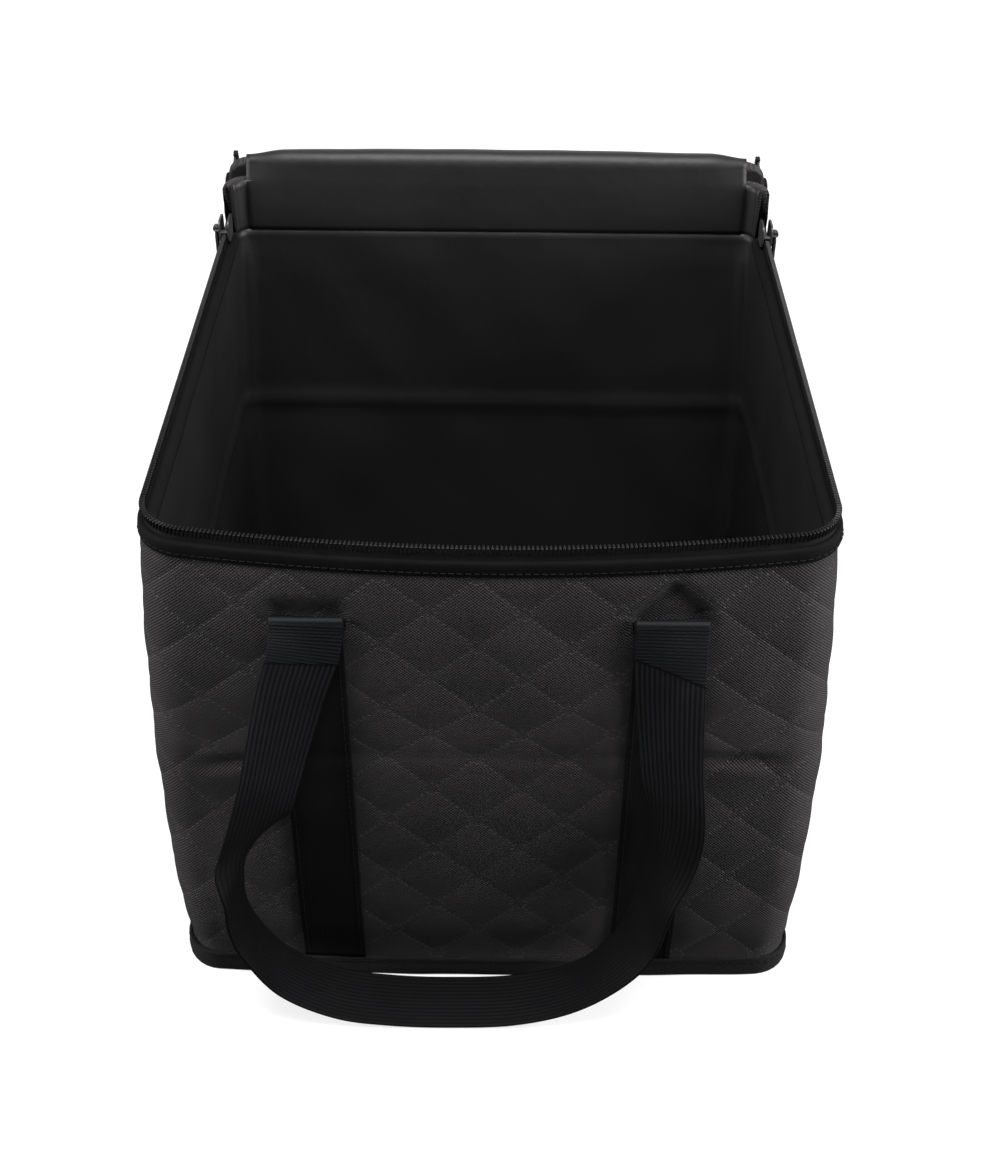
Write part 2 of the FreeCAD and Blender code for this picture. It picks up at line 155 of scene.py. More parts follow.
# Wall: one band of thin embossed cloth, spot-welded to its padding in a slanted grid of dots with a ring at
# each crossing, and sewn round four soft corners. It bellies out at mid height and sags between its seams.
WALL_TOP = 0.281
WALL_BOTTOM = 0.0030
BAG_WIDTH = 0.308
BAG_DEPTH = 0.310
FRONT_CORNER_RIM = 0.025
FRONT_CORNER_BASE = 0.017
BACK_CORNER = 0.014
SIDE_BULGE = 0.0082
DEPTH_BULGE = 0.002
FRONT_BOW_BASE = 0.002
FRONT_BOW_RIM = 0.016
WALL_STATIONS = ((0.0463, 0.50, 0.04), (0.12, 0.80, 0.12), (0.25, 0.93, 0.30),
                 (0.50, 1.00, 0.60), (0.75, 0.59, 0.85), (1.00, 0.00, 1.00))
WALL_EASE = (-0.08, -0.04, 0.0, 0.04, 0.08)
CLOTH_STEP = 0.0031
CLOTH_THICKNESS = 0.0012
QUILT_PITCH = 0.02977
QUILT_START = (0.0155, 0.0)
QUILT_PUFF = 0.0008
WELD_STEP = QUILT_PITCH / 9
WELD_RING = 0.0036
EMBOSS_PITCH = 1.7
CREASE_HEIGHT = 0.166
BASE_TUCK = 0.0017
WEBBING_WIDTH = 0.032
WEBBING_SPACING = 0.160
HANDLE_HEIGHT = 0.2485
CLOTH_BLACK = (0.0080, 0.0072, 0.0074, 1.0)
# Paler cloth tone: random cloudy tone, and painted light on the emboss's raised parts.
CLOTH_DUST_AND_LIT_EMBOSS = (0.0350, 0.0320, 0.0326, 1.0)
# Painted highlight colour for the rim of each welded dot.
WELD_RIM_HIGHLIGHT = (0.050, 0.048, 0.047, 1.0)

plans = {}


def ease(low, high, value):
    """0 before low and 1 after high, smooth between."""
    part = min(max((value - low) / (high - low), 0.0), 1.0)
    return part * part * (3 - 2 * part)


def dent(away, width):
    """1 at a line or a spot, and fading out over that width."""
    return math.exp(-(away / width) ** 2)


def plan_at(height):
    """Half width and depth, radius and centre of the bowed front, radius and centre of the front corner,
    and the bow's half angle."""
    height = round(height, 5)
    if height not in plans:
        swell = bow_share = 0.0
        middle = min(max(height / WALL_TOP, WALL_STATIONS[0][0]), 1.0)
        room = min(middle - WALL_STATIONS[0][0], 1.0 - middle)
        for step in WALL_EASE:
            share = middle + min(max(step, -room), room)
            for low, high in zip(WALL_STATIONS, WALL_STATIONS[1:]):
                if share < high[0]:
                    break
            part = (share - low[0]) / (high[0] - low[0])
            swell += (low[1] + part * (high[1] - low[1])) / len(WALL_EASE)
            bow_share += (low[2] + part * (high[2] - low[2])) / len(WALL_EASE)
        half_width = BAG_WIDTH / 2 + swell * SIDE_BULGE
        half_depth = BAG_DEPTH / 2 + swell * DEPTH_BULGE
        bow = FRONT_BOW_BASE + bow_share * (FRONT_BOW_RIM - FRONT_BOW_BASE)
        bow_radius = (half_width ** 2 + bow ** 2) / (2 * bow)
        bow_y = bow_radius - half_depth - bow
        corner = FRONT_CORNER_BASE + bow_share * (FRONT_CORNER_RIM - FRONT_CORNER_BASE)
        corner_x = half_width - corner
        along = math.sqrt((bow_radius - corner) ** 2 - corner_x ** 2)
        plans[height] = (half_width, half_depth, bow_radius, bow_y, corner, corner_x, bow_y - along,
                         math.atan2(corner_x, along))
    return plans[height]


def runs_at(height):
    """Lengths round the wall from the middle of the front to the front corner's two ends,
    the back corner's two ends and the middle of the back."""
    half_width, half_depth, bow_radius, bow_y, corner, corner_x, corner_y, lean = plan_at(height)
    front_run = bow_radius * lean
    corner_end = front_run + corner * (math.pi / 2 - lean)
    side_end = corner_end + half_depth - BACK_CORNER - corner_y
    back_start = side_end + BACK_CORNER * math.pi / 2
    return front_run, corner_end, side_end, back_start, back_start + half_width - BACK_CORNER


SIDE_END, BACK_START, HALF_ROUND = runs_at(WALL_TOP)[2:]


def on_wall(around, height, out=0.0):
    """Place and outward direction on the wall, at a distance round from the front's middle and a height."""
    half_width, half_depth, bow_radius, bow_y, corner, corner_x, corner_y, lean = plan_at(height)
    front_run, corner_end, side_end, back_start = runs_at(height)[:4]
    side = -1 if around < 0 else 1
    run = abs(around)
    back_x, back_y = half_width - BACK_CORNER, half_depth - BACK_CORNER
    if run > corner_end:
        stretch = (side_end - corner_end) / (SIDE_END - corner_end)
        run = min(corner_end + (run - corner_end) * stretch, side_end) + max(run - SIDE_END, 0.0)
    if run <= front_run:
        turn = run / bow_radius
        facing = (math.sin(turn), -math.cos(turn))
        x, y = facing[0] * (bow_radius + out), bow_y + facing[1] * (bow_radius + out)
    elif run <= corner_end:
        turn = lean + (run - front_run) / corner
        facing = (math.sin(turn), -math.cos(turn))
        x, y = corner_x + facing[0] * (corner + out), corner_y + facing[1] * (corner + out)
    elif run <= side_end:
        facing = (1.0, 0.0)
        x, y = half_width + out, corner_y + run - corner_end
    elif run <= back_start:
        turn = (run - side_end) / BACK_CORNER
        facing = (math.cos(turn), math.sin(turn))
        x, y = back_x + facing[0] * (BACK_CORNER + out), back_y + facing[1] * (BACK_CORNER + out)
    else:
        facing = (0.0, 1.0)
        x, y = back_x * (1 - (run - back_start) / (HALF_ROUND - BACK_START)), half_depth + out
    return Vector((side * x, y, height)), Vector((side * facing[0], facing[1], 0.0))


def cloth_up(height):
    """Length up the wall's cloth at a height, with the slack that the storage crease and the sag take up."""
    slack = (0.0133 * min(max((height - 0.162) / 0.035, 0.0), 1.0)
             + 0.0097 * max((height - 0.197) / 0.077, 0.0))
    return 0.966 * (height - 0.0145) + slack


def quilt_puff(across, up):
    """0 on the welded lines and 1 in the middle of a lozenge."""
    across, up = across - QUILT_START[0], up - QUILT_START[1]
    rise = 1.0
    for line in ((across - up), (across + up)):
        line /= math.sqrt(2) * QUILT_PITCH
        rise *= 1 - (1 - 2 * abs(line - round(line))) ** 2.2
    return rise


def wall_relief(around, height):
    """How far the cloth stands out of the wall's plain shape."""
    run = abs(around)
    spot = on_wall(around, height)[0]
    band_away = min(abs(run - WEBBING_SPACING / 2), abs(HALF_ROUND - run - WEBBING_SPACING / 2))
    under_band = 1 - ease(WEBBING_WIDTH / 2, WEBBING_WIDTH / 2 + 0.007, band_away)
    under_band *= 1 - ease(HANDLE_HEIGHT - 0.004, HANDLE_HEIGHT + 0.006, height)
    relief = (QUILT_PUFF * (quilt_puff(around, cloth_up(height)) - 0.35) * (1 - under_band)
              - 0.0004 * under_band)
    fold = CREASE_HEIGHT - (0.016 if around < 0 else 0.009) * ease(0.07, 0.15, run)
    fold += 0.0020 * noise.noise(Vector((spot.x * 14, spot.y * 14, 4.2)))
    depth = 0.0008 + 0.0017 * ease(0.075, 0.110, run) * (1 - ease(0.125, 0.152, run))
    depth *= 1 - 0.75 * ease(0.128, 0.150, run) * (1 - ease(0.170, 0.200, run))
    relief -= depth * (dent(height - fold, 0.0038) - 0.5 * dent(height - fold, 0.014))
    relief += 0.0014 * noise.noise(spot * 10)
    relief += 0.0006 * noise.noise(spot * 27)
    for corner in (sum(runs_at(height)[:2]) / 2, (SIDE_END + BACK_START) / 2):
        relief -= 0.0012 * dent(run - corner, 0.012) * dent(height - 0.017, 0.006)
    relief -= BASE_TUCK * (1 - ease(0.016, 0.044, height)) * (1 - ease(0.125, 0.150, run))
    beside = abs(run - WEBBING_SPACING / 2)
    hollow_top = 0.262 if around < 0 else 0.275 - beside
    hollow = (ease(HANDLE_HEIGHT - 0.010, HANDLE_HEIGHT - 0.002, height)
              * ease(0.001, 0.012, hollow_top - height))
    relief -= 0.0044 * hollow * (1 - ease(0.014, 0.020, beside))
    return relief * ease(0.004, 0.018, height) * (1 - ease(0.268, 0.277, height))


def flat_cloth(columns, rows, width, height, low=None):
    """Flat grid of cloth that carries its own measure in metres as a UV map."""
    cloth = bmesh.new()
    bmesh.ops.create_grid(cloth, x_segments=columns, y_segments=rows, size=0.5)
    bmesh.ops.scale(cloth, vec=(width, height, 1), verts=cloth.verts)
    if low is not None:
        bmesh.ops.translate(cloth, vec=(0, low + height / 2, 0), verts=cloth.verts)
    return mark_cloth(cloth)


def mark_cloth(cloth, lie=lambda place: place.xy):
    """Keeps where each point lies on the flat cloth, in metres, as a UV map."""
    measure = cloth.loops.layers.uv.verify()
    for face in cloth.faces:
        for corner in face.loops:
            corner[measure].uv = lie(corner.vert.co)
    return cloth


def finish_piece(name, form, finish, body, nodes=(), thickness=None, smooth=True):
    """Turns a finished form into a piece that moves with a body and stands for CAD nodes."""
    mesh = bpy.data.meshes.new(name)
    form.to_mesh(mesh)
    form.free()
    mesh.materials.append(finish)
    if smooth:
        mesh.shade_smooth()
    piece = bpy.data.objects.new(name, mesh)
    bpy.context.collection.objects.link(piece)
    if thickness:
        ply = piece.modifiers.new("ply", "SOLIDIFY")
        ply.thickness = thickness
        ply.offset = -1
    if body:
        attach(piece, body)
    if nodes:
        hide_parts(*nodes)
    return piece


def weigh(tree, operation, *feeds):
    """Sum on values that vary over a surface."""
    return join(tree, "ShaderNodeMath", *feeds, operation=operation)


def span(tree, first, second):
    """Length of a pair of distances."""
    square = weigh(tree, "MULTIPLY", second, second)
    return weigh(tree, "SQRT", weigh(tree, "MULTIPLY_ADD", first, first, square))


def fade(tree, value, low, high, low_value, high_value):
    """One value up to low and another past high, smooth between."""
    return join(tree, "ShaderNodeMapRange", value, low, high, low_value, high_value,
                interpolation_type="SMOOTHSTEP")


def blot(tree, place, scale, detail=2.0, roughness=0.5):
    """Cloudy variation from 0 to 1 on a surface."""
    return join(tree, "ShaderNodeTexNoise", place, None, scale, detail, roughness)


def cloth_measure(tree):
    """Distances across and along a cloth, in metres, from its own measure."""
    split = tree.nodes.new("ShaderNodeSeparateXYZ")
    tree.links.new(join(tree, "ShaderNodeUVMap"), split.inputs[0])
    return split.outputs[:2]


def fixed_place(tree):
    """Place on a piece, in metres, in the bag's own frame."""
    return join(tree, "ShaderNodeTexCoord", out=3)


def tint(tree, part, first, second):
    """Mix of two colours."""
    node = tree.nodes.new("ShaderNodeMix")
    node.data_type = "RGBA"
    tree.links.new(part, node.inputs[0])
    for place, colour in ((6, first), (7, second)):
        if isinstance(colour, bpy.types.NodeSocket):
            tree.links.new(colour, node.inputs[place])
        else:
            node.inputs[place].default_value = colour
    return node.outputs[2]


def coat(tree, colour, roughness, height, specular, sheen=0.0, metallic=0.0):
    """Surface with its colour, roughness and a relief in millimetres."""
    normal = None
    if height is not None:
        normal = join(tree, "ShaderNodeBump", 1.0, 0.001)
        bump = normal.node
        tree.links.new(height, bump.inputs["Height"])
    shader = tree.nodes.new("ShaderNodeBsdfPrincipled")
    for socket, feed in (("Base Color", colour), ("Roughness", roughness), ("Normal", normal)):
        if isinstance(feed, bpy.types.NodeSocket):
            tree.links.new(feed, shader.inputs[socket])
        elif feed is not None:
            shader.inputs[socket].default_value = feed
    shader.inputs["Specular IOR Level"].default_value = specular
    shader.inputs["Sheen Weight"].default_value = sheen
    shader.inputs["Metallic"].default_value = metallic
    join(tree, "ShaderNodeOutputMaterial", shader.outputs[0])


def quilted_finish(name):
    """Embossed black cloth with its grid of welded dots and rings, read from the cloth's own measure,
    with painted light on the emboss's raised parts, painted shade in its valleys
    and a painted highlight round each welded dot.
    """
    finish, tree = new_finish(name)
    lengths = zip(cloth_measure(tree), QUILT_START)
    across, up = [weigh(tree, "MULTIPLY_ADD", length, 1000.0, -1000 * start) for length, start in lengths]
    pitch, step, ring = 1000 * QUILT_PITCH, 1000 * WELD_STEP, 1000 * WELD_RING
    lines = [
        weigh(tree, "MULTIPLY", weigh(tree, way, across, up), math.sqrt(0.5)) for way in ("SUBTRACT", "ADD")
    ]
    off_line = [weigh(tree, "WRAP", line, pitch / 2, -pitch / 2) for line in lines]
    off_weld = [weigh(tree, "WRAP", line, step / 2, -step / 2) for line in lines]
    crossing = span(tree, *off_line)
    near = weigh(tree, "LESS_THAN", crossing, ring + 1.6)
    turn = weigh(tree, "ARCTAN2", off_line[1], off_line[0])
    arc = weigh(tree, "MULTIPLY", weigh(tree, "WRAP", turn, math.pi / 8, -math.pi / 8), ring)
    weld = span(tree, weigh(tree, "SUBTRACT", crossing, ring), arc)
    for first, second in ((0, 1), (1, 0)):
        spot = span(tree, off_line[first], off_weld[second])
        weld = weigh(tree, "MINIMUM", weld, weigh(tree, "MULTIPLY_ADD", near, 9.0, spot))
    pit = fade(tree, weld, 0.25, 0.80, 1.0, 0.0)
    lip = fade(tree, weld, 0.75, 1.15, 1.0, 0.0)
    seam = weigh(tree, "MINIMUM", *[weigh(tree, "ABSOLUTE", line) for line in off_line])
    groove = fade(tree, seam, 0.0, 3.0, 1.0, 0.0)
    emboss = weigh(tree, "MULTIPLY", *[
        weigh(tree, "SINE", weigh(tree, "MULTIPLY", length, 2 * math.pi / EMBOSS_PITCH))
        for length in (across, up)
    ])
    place = fixed_place(tree)
    cloud = blot(tree, place, 22.0, 3.0)
    fibre = blot(tree, place, 1400.0, 2.0)
    height = weigh(tree, "MULTIPLY_ADD", pit, -0.42, weigh(tree, "MULTIPLY", groove, -0.26))
    height = weigh(tree, "MULTIPLY_ADD", emboss, 0.18, height)
    height = weigh(tree, "MULTIPLY_ADD", fibre, 0.10, height)
    # Painted light and shade: the emboss's raised parts are paler and its valleys darker, over random fibre
    # and cloud tone.
    shade = weigh(tree, "MULTIPLY_ADD", emboss, 0.75, weigh(tree, "MULTIPLY_ADD", fibre, 0.5, -0.25))
    colour = tint(tree, weigh(tree, "ADD", shade, cloud), CLOTH_BLACK, CLOTH_DUST_AND_LIT_EMBOSS)
    # Painted highlight: a paler ring round each welded dot, where its rim would catch the light.
    painted_light_mix = weigh(tree, "MULTIPLY", weigh(tree, "SUBTRACT", lip, pit), 0.55)
    colour = tint(tree, painted_light_mix, colour, WELD_RIM_HIGHLIGHT)
    rough = weigh(tree, "MULTIPLY_ADD", cloud, 0.14, weigh(tree, "MULTIPLY_ADD", lip, -0.20, 0.60))
    coat(tree, colour, rough, height, specular=0.11, sheen=0.02)
    return finish


quilted_cloth = quilted_finish("quilted_cloth")
wall_cloth = flat_cloth(round(2 * HALF_ROUND / CLOTH_STEP), round((WALL_TOP - WALL_BOTTOM) / CLOTH_STEP),
                        2 * HALF_ROUND, WALL_TOP - WALL_BOTTOM, WALL_BOTTOM)
mark_cloth(wall_cloth, lambda place: (place.x, cloth_up(place.y)))
for point in wall_cloth.verts:
    around, height = point.co.x, point.co.y
    point.co = on_wall(around, height, wall_relief(around, height))[0]
bmesh.ops.remove_doubles(wall_cloth, verts=wall_cloth.verts, dist=1e-5)
quilted_wall = finish_piece(
    "quilted_wall", wall_cloth, quilted_cloth, "bag",
    ("wall_outer_fabric", "front_wall_padding", "back_wall_padding", "left_wall_padding",
     "right_wall_padding", "corner_padding"), CLOTH_THICKNESS)


# Lining of the wall: thin black film, welded at the base and turned under the hem, with the soft folds
# and the storage crease of a bag that is packed flat.
LINING_LOW, LINING_HIGH = 0.0088, 0.2812
LINING_INSET = 0.0066
LINING_STEP = 0.0044
FILM_THICKNESS = 0.0006
FILM_BLACK = (0.0062, 0.0062, 0.0064, 1.0)
FILM_GREY = (0.0105, 0.0105, 0.0108, 1.0)


def film_finish(name):
    """Smooth black film with a fine grain and a soft, cloudy gloss."""
    finish, tree = new_finish(name)
    place = fixed_place(tree)
    cloud = blot(tree, place, 14.0, 3.0)
    pucker = blot(tree, place, 60.0, 3.0, 0.55)
    grain = blot(tree, place, 1800.0, 1.0)
    height = weigh(tree, "MULTIPLY_ADD", pucker, 0.55, weigh(tree, "MULTIPLY", grain, 0.03))
    colour = tint(tree, cloud, FILM_BLACK, FILM_GREY)
    rough = weigh(tree, "MULTIPLY_ADD", cloud, 0.14, weigh(tree, "MULTIPLY_ADD", grain, 0.06, 0.38))
    coat(tree, colour, rough, height, specular=0.24)
    return finish


def lining_relief(around, height):
    """How far the film stands in from its plain place, towards the middle of the bag."""
    run = abs(around)
    spot = on_wall(around, height)[0]
    relief = 0.0018 * noise.noise(spot * 8 + Vector((0, 0, 20)))
    relief += 0.0012 * noise.noise(Vector((spot.x * 26 + height * 14, spot.y * 26 + height * 9, height * 8)))
    fold = CREASE_HEIGHT + 0.004 * noise.noise(Vector((spot.x * 8, spot.y * 8, 9.4)))
    relief += 0.0022 * dent(height - fold, 0.0045) - 0.0010 * dent(height - fold, 0.018)
    for corner in (sum(runs_at(height)[:2]) / 2, (SIDE_END + BACK_START) / 2):
        tuck = run - corner + 0.003 * noise.noise(Vector((height * 16, spot.x, 5.5)))
        relief += 0.0018 * dent(tuck - 0.006, 0.004) + 0.0014 * dent(tuck + 0.007, 0.005)
    return relief * ease(0.008, 0.030, height) * (1 - ease(0.262, 0.278, height))


black_film = film_finish("black_film")
lining_tall = LINING_HIGH - LINING_LOW
lining_cloth = flat_cloth(round(2 * HALF_ROUND / LINING_STEP), round(lining_tall / LINING_STEP),
                          2 * HALF_ROUND, lining_tall, LINING_LOW)
for point in lining_cloth.verts:
    around, height = point.co.x, point.co.y
    point.co = on_wall(around, height, -LINING_INSET - lining_relief(around, height))[0]
bmesh.ops.remove_doubles(lining_cloth, verts=lining_cloth.verts, dist=1e-5)
bmesh.ops.reverse_faces(lining_cloth, faces=lining_cloth.faces)
wall_film = finish_piece("wall_film", lining_cloth, black_film, "bag", ("wall_lining",),
                         FILM_THICKNESS)


# Base: a quilted panel under the bag, padding and a stiffening board, and a film lining over them.
# The panel and the film are cut to the bag's plan and caught in the seam round the base.
BASE_GAP = 0.0003
BASE_PUFF = 0.0011
BASE_FILM_HEIGHT = 0.0092
BASE_FILM_STEP = 0.0050
ROUNDING_CUTS = 9


def plan_cloth(plan_height, inset, step):
    """Flat cloth cut to the bag's plan: a grid, its front pushed out to the bow, its corners cut round."""
    half_width, half_depth, bow_radius, bow_y, corner, corner_x, corner_y, lean = plan_at(plan_height)
    wide, deep = half_width - inset, half_depth - inset
    cloth = bmesh.new()
    bmesh.ops.create_grid(cloth, x_segments=round(2 * wide / step), y_segments=round(2 * deep / step),
                          size=0.5)
    bmesh.ops.scale(cloth, vec=(2 * wide, 2 * deep, 1), verts=cloth.verts)
    for point in cloth.verts:
        front = bow_y - math.sqrt((bow_radius - inset) ** 2 - point.co.x ** 2)
        point.co.y += (front + deep) * (deep - point.co.y) / (2 * deep)
    back = (half_width - BACK_CORNER, half_depth - BACK_CORNER)
    for centre, radius, first, last in (((corner_x, corner_y), corner, lean - math.pi / 2, 0.0),
                                        (back, BACK_CORNER, 0.0, math.pi / 2)):
        for cut in range(ROUNDING_CUTS):
            turn = first + (last - first) * (cut + 0.5) / ROUNDING_CUTS
            for side in (-1, 1):
                facing = Vector((side * math.cos(turn), math.sin(turn), 0))
                edge = Vector((side * centre[0], centre[1], 0)) + facing * (radius - inset)
                bmesh.ops.bisect_plane(cloth, geom=cloth.verts[:] + cloth.edges[:] + cloth.faces[:],
                                       dist=1e-6, plane_co=edge, plane_no=facing, clear_outer=True)
    return mark_cloth(cloth)


base_cloth = plan_cloth(0.0, 0.0004, CLOTH_STEP)
for point in base_cloth.verts:
    point.co.z = BASE_GAP + BASE_PUFF * (1 - quilt_puff(point.co.x, point.co.y))
bmesh.ops.reverse_faces(base_cloth, faces=base_cloth.faces)
quilted_base = finish_piece("quilted_base", base_cloth, quilted_cloth, "bag",
                            ("base_outer_panel", "base_padding", "base_board"), CLOTH_THICKNESS)

base_film_cloth = plan_cloth(0.0, LINING_INSET - 0.0004, BASE_FILM_STEP)
for point in base_film_cloth.verts:
    wave = noise.noise(Vector((point.co.x * 13, point.co.y * 13, 6.6)))
    wave += 0.6 * noise.noise(Vector((point.co.x * 34, point.co.y * 20, 1.2)))
    point.co.z = BASE_FILM_HEIGHT + 0.0010 * wave
base_film = finish_piece("base_film", base_film_cloth, black_film, "bag", ("base_lining",),
                         FILM_THICKNESS)


# Binding of the base seam: a soft felted tape folded over the raw edges of wall and base and sewn through,
# so that it stands out as a rolled lip all round the foot of the bag.
BINDING_MIDDLE = (0.0011, 0.0067)
BINDING_HALF = (0.0014, 0.0064)
BINDING_POINTS = 22
BINDING_STEP = 0.0036
BINDING_WIDTH = 0.040
BINDING_PLAN = 0.002
BINDING_SEAM = 0.0098
BINDING_BLACK = (0.0046, 0.0043, 0.0046, 1.0)
BINDING_FLUFF = (0.0330, 0.0315, 0.0330, 1.0)


def felt_finish(name):
    """Felted black tape with pale stray fibres."""
    finish, tree = new_finish(name)
    place = fixed_place(tree)
    mat = blot(tree, place, 700.0, 4.0, 0.7)
    fluff = blot(tree, place, 1900.0, 2.0, 0.6)
    cloud = blot(tree, place, 40.0, 2.0)
    stray = weigh(tree, "MULTIPLY", fade(tree, fluff, 0.56, 0.72, 0.0, 1.0),
                  fade(tree, cloud, 0.35, 0.7, 0.2, 1.0))
    height = weigh(tree, "MULTIPLY_ADD", mat, 0.35, weigh(tree, "MULTIPLY", fluff, 0.15))
    rough = weigh(tree, "MULTIPLY_ADD", mat, 0.15, 0.78)
    coat(tree, tint(tree, stray, BINDING_BLACK, BINDING_FLUFF), rough, height, specular=0.08, sheen=0.03)
    return finish


felt_tape = felt_finish("felt_tape")
binding_cloth = flat_cloth(round(2 * HALF_ROUND / BINDING_STEP), BINDING_POINTS,
                           2 * HALF_ROUND, BINDING_WIDTH)
for point in binding_cloth.verts:
    around = point.co.x
    turn = 2 * math.pi * (point.co.y / BINDING_WIDTH + 0.5)
    spot = on_wall(around, BINDING_PLAN)[0]
    swing, rise = math.cos(turn), math.sin(turn)
    out = BINDING_MIDDLE[0] + BINDING_HALF[0] * math.copysign(abs(swing) ** 0.7, swing)
    height = BINDING_MIDDLE[1] + BINDING_HALF[1] * math.copysign(abs(rise) ** 0.8, rise)
    if swing > 0:
        out -= 0.0008 * dent(height - BINDING_SEAM, 0.0013)
        out += 0.0007 * noise.noise(spot * 42 + Vector((0, 0, height * 60)))
    height += 0.0005 * noise.noise(spot * 23) * ease(0.002, 0.009, height)
    place = on_wall(around, BINDING_PLAN, out)[0]
    point.co = (place.x, place.y, max(height, BASE_GAP))
bmesh.ops.remove_doubles(binding_cloth, verts=binding_cloth.verts, dist=1e-5)
bmesh.ops.recalc_face_normals(binding_cloth, faces=binding_cloth.faces)
finish_piece("base_binding", binding_cloth, felt_tape, "bag", ("base_edge_binding",))


# Hem: a folded strip of the same cloth, turned over the top edge of wall and lining on the front
# and both sides and sewn through. It carries the zip.
HEM_TURN = ((0.0003, 0.2744), (0.0010, 0.2747), (0.0013, 0.2755), (0.0013, 0.2785), (0.0012, 0.2808),
            (0.0006, 0.2821), (-0.0008, 0.2825), (-0.0030, 0.2826), (-0.0054, 0.2824), (-0.0066, 0.2817),
            (-0.0071, 0.2800), (-0.0071, 0.2768), (-0.0068, 0.2755))
HEM_THICKNESS = 0.0007
HEM_PLAN = 0.28
HEM_SEAM = 0.2768
STRIP_STEP = 0.0035
HEM_BLACK = (0.0018, 0.0017, 0.0018, 1.0)
HEM_SHINE = (0.0042, 0.0040, 0.0041, 1.0)


def lay_strip(turn, end, step, wander=0.0):
    """Strip along the front and both sides up to a distance round, with a section of (out, height) points."""
    rows = len(turn) - 1
    strip = bmesh.new()
    bmesh.ops.create_grid(strip, x_segments=round(2 * end / step), y_segments=rows, size=0.5)
    lengths = [0.0]
    for low, high in zip(turn, turn[1:]):
        lengths.append(lengths[-1] + math.dist(low, high))
    mark_cloth(strip, lambda place: (place.x * 2 * end, lengths[round((place.y + 0.5) * rows)]))
    for point in strip.verts:
        out, height = turn[round((point.co.y + 0.5) * rows)]
        around = point.co.x * 2 * end
        drift = wander * noise.noise(on_wall(around, HEM_PLAN)[0] * 22 + Vector((0, 0, 40 * height)))
        point.co = on_wall(around, height + 0.6 * drift, out + drift)[0]
    return strip


def woven_finish(name, dark, light, rough, specular, grain=0.9, sheen=0.05):
    """Plain close weave that follows a strip's own measure."""
    finish, tree = new_finish(name)
    warp, weft = [
        weigh(tree, "SINE", weigh(tree, "MULTIPLY", length, 2000 * math.pi / grain))
        for length in cloth_measure(tree)
    ]
    place = fixed_place(tree)
    cloud = blot(tree, place, 60.0, 3.0)
    weave = weigh(tree, "MULTIPLY", warp, weft)
    height = weigh(tree, "MULTIPLY_ADD", weave, 0.05, weigh(tree, "MULTIPLY", cloud, 0.10))
    shade = weigh(tree, "MULTIPLY_ADD", weave, 0.25, weigh(tree, "MULTIPLY", cloud, 0.9))
    coat(tree, tint(tree, shade, dark, light), weigh(tree, "MULTIPLY_ADD", cloud, 0.12, rough), height,
         specular, sheen)
    return finish


hem_cloth = woven_finish("hem_cloth", HEM_BLACK, HEM_SHINE, 0.60, 0.03, sheen=0.01)
zip_line_end = SIDE_END - 0.0019
finish_piece("rim_hem_fold", lay_strip(HEM_TURN, SIDE_END - 0.0004, STRIP_STEP, 0.0003), hem_cloth,
             "bag", ("rim_hem",), HEM_THICKNESS)


# Zip on the rim: a woven tape that stands on the hem, with a nylon coil along its top edge
# and a pressed stop at each end.
ZIP_INSET = -0.0016
TOOTH_PITCH = 0.0019
TOOTH_SIZE = (0.00128, 0.0027, 0.0041)
TOOTH_SLANT = math.radians(9)
TOOTH_ROUNDING = 0.00040
TAPE_STEP = 0.0040
RIM_TAPE = ((-0.0020, 0.2812), (-0.0020, 0.2862), (-0.0017, 0.2867), (-0.0012, 0.2862), (-0.0011, 0.2840),
            (-0.0012, 0.2812))
RIM_TEETH_HEIGHT = 0.2872
TAPE_BLACK = (0.0045, 0.0045, 0.0048, 1.0)
TAPE_GREY = (0.0100, 0.0100, 0.0105, 1.0)
COIL_BLACK = (0.0022, 0.0022, 0.0024, 1.0)
COIL_GREY = (0.0052, 0.0052, 0.0056, 1.0)


def round_edges(form, edges, offset, segments):
    """Rounds edges of a form."""
    bmesh.ops.bevel(form, geom=edges, offset=offset, offset_type="OFFSET", affect="EDGES", segments=segments,
                    profile=0.5, material=-1)


def lay_teeth(height, end):
    """Row of the coil's loops along the zip, each a small rounded block set a little aslant."""
    row = bmesh.new()
    count = round(2 * end / TOOTH_PITCH)
    for tooth in range(count):
        around = -end + (tooth + 0.5) * 2 * end / count
        place, facing = on_wall(around, height, ZIP_INSET)
        along = Vector((-facing.y, facing.x, 0))
        up = Vector((0, 0, math.cos(TOOTH_SLANT))) + along * math.sin(TOOTH_SLANT)
        frame_of = Matrix((
            along * TOOTH_SIZE[0], facing * TOOTH_SIZE[1], up * TOOTH_SIZE[2])).transposed().to_4x4()
        bmesh.ops.create_cube(row, size=1.0, matrix=Matrix.Translation(place) @ frame_of)
    round_edges(row, row.edges[:], TOOTH_ROUNDING, 1)
    bmesh.ops.recalc_face_normals(row, faces=row.faces)
    return row


def moulded_finish(name, dark, light, rough, specular, metallic=0.0):
    """Hard, slightly uneven surface of moulded nylon or painted metal."""
    finish, tree = new_finish(name)
    place = fixed_place(tree)
    cloud = blot(tree, place, 160.0, 3.0)
    scuff = blot(tree, place, 2600.0, 2.0)
    height = weigh(tree, "MULTIPLY", scuff, 0.012)
    roughness = weigh(tree, "MULTIPLY_ADD", cloud, 0.16, weigh(tree, "MULTIPLY_ADD", scuff, 0.08, rough))
    coat(tree, tint(tree, cloud, dark, light), roughness, height, specular, metallic=metallic)
    return finish


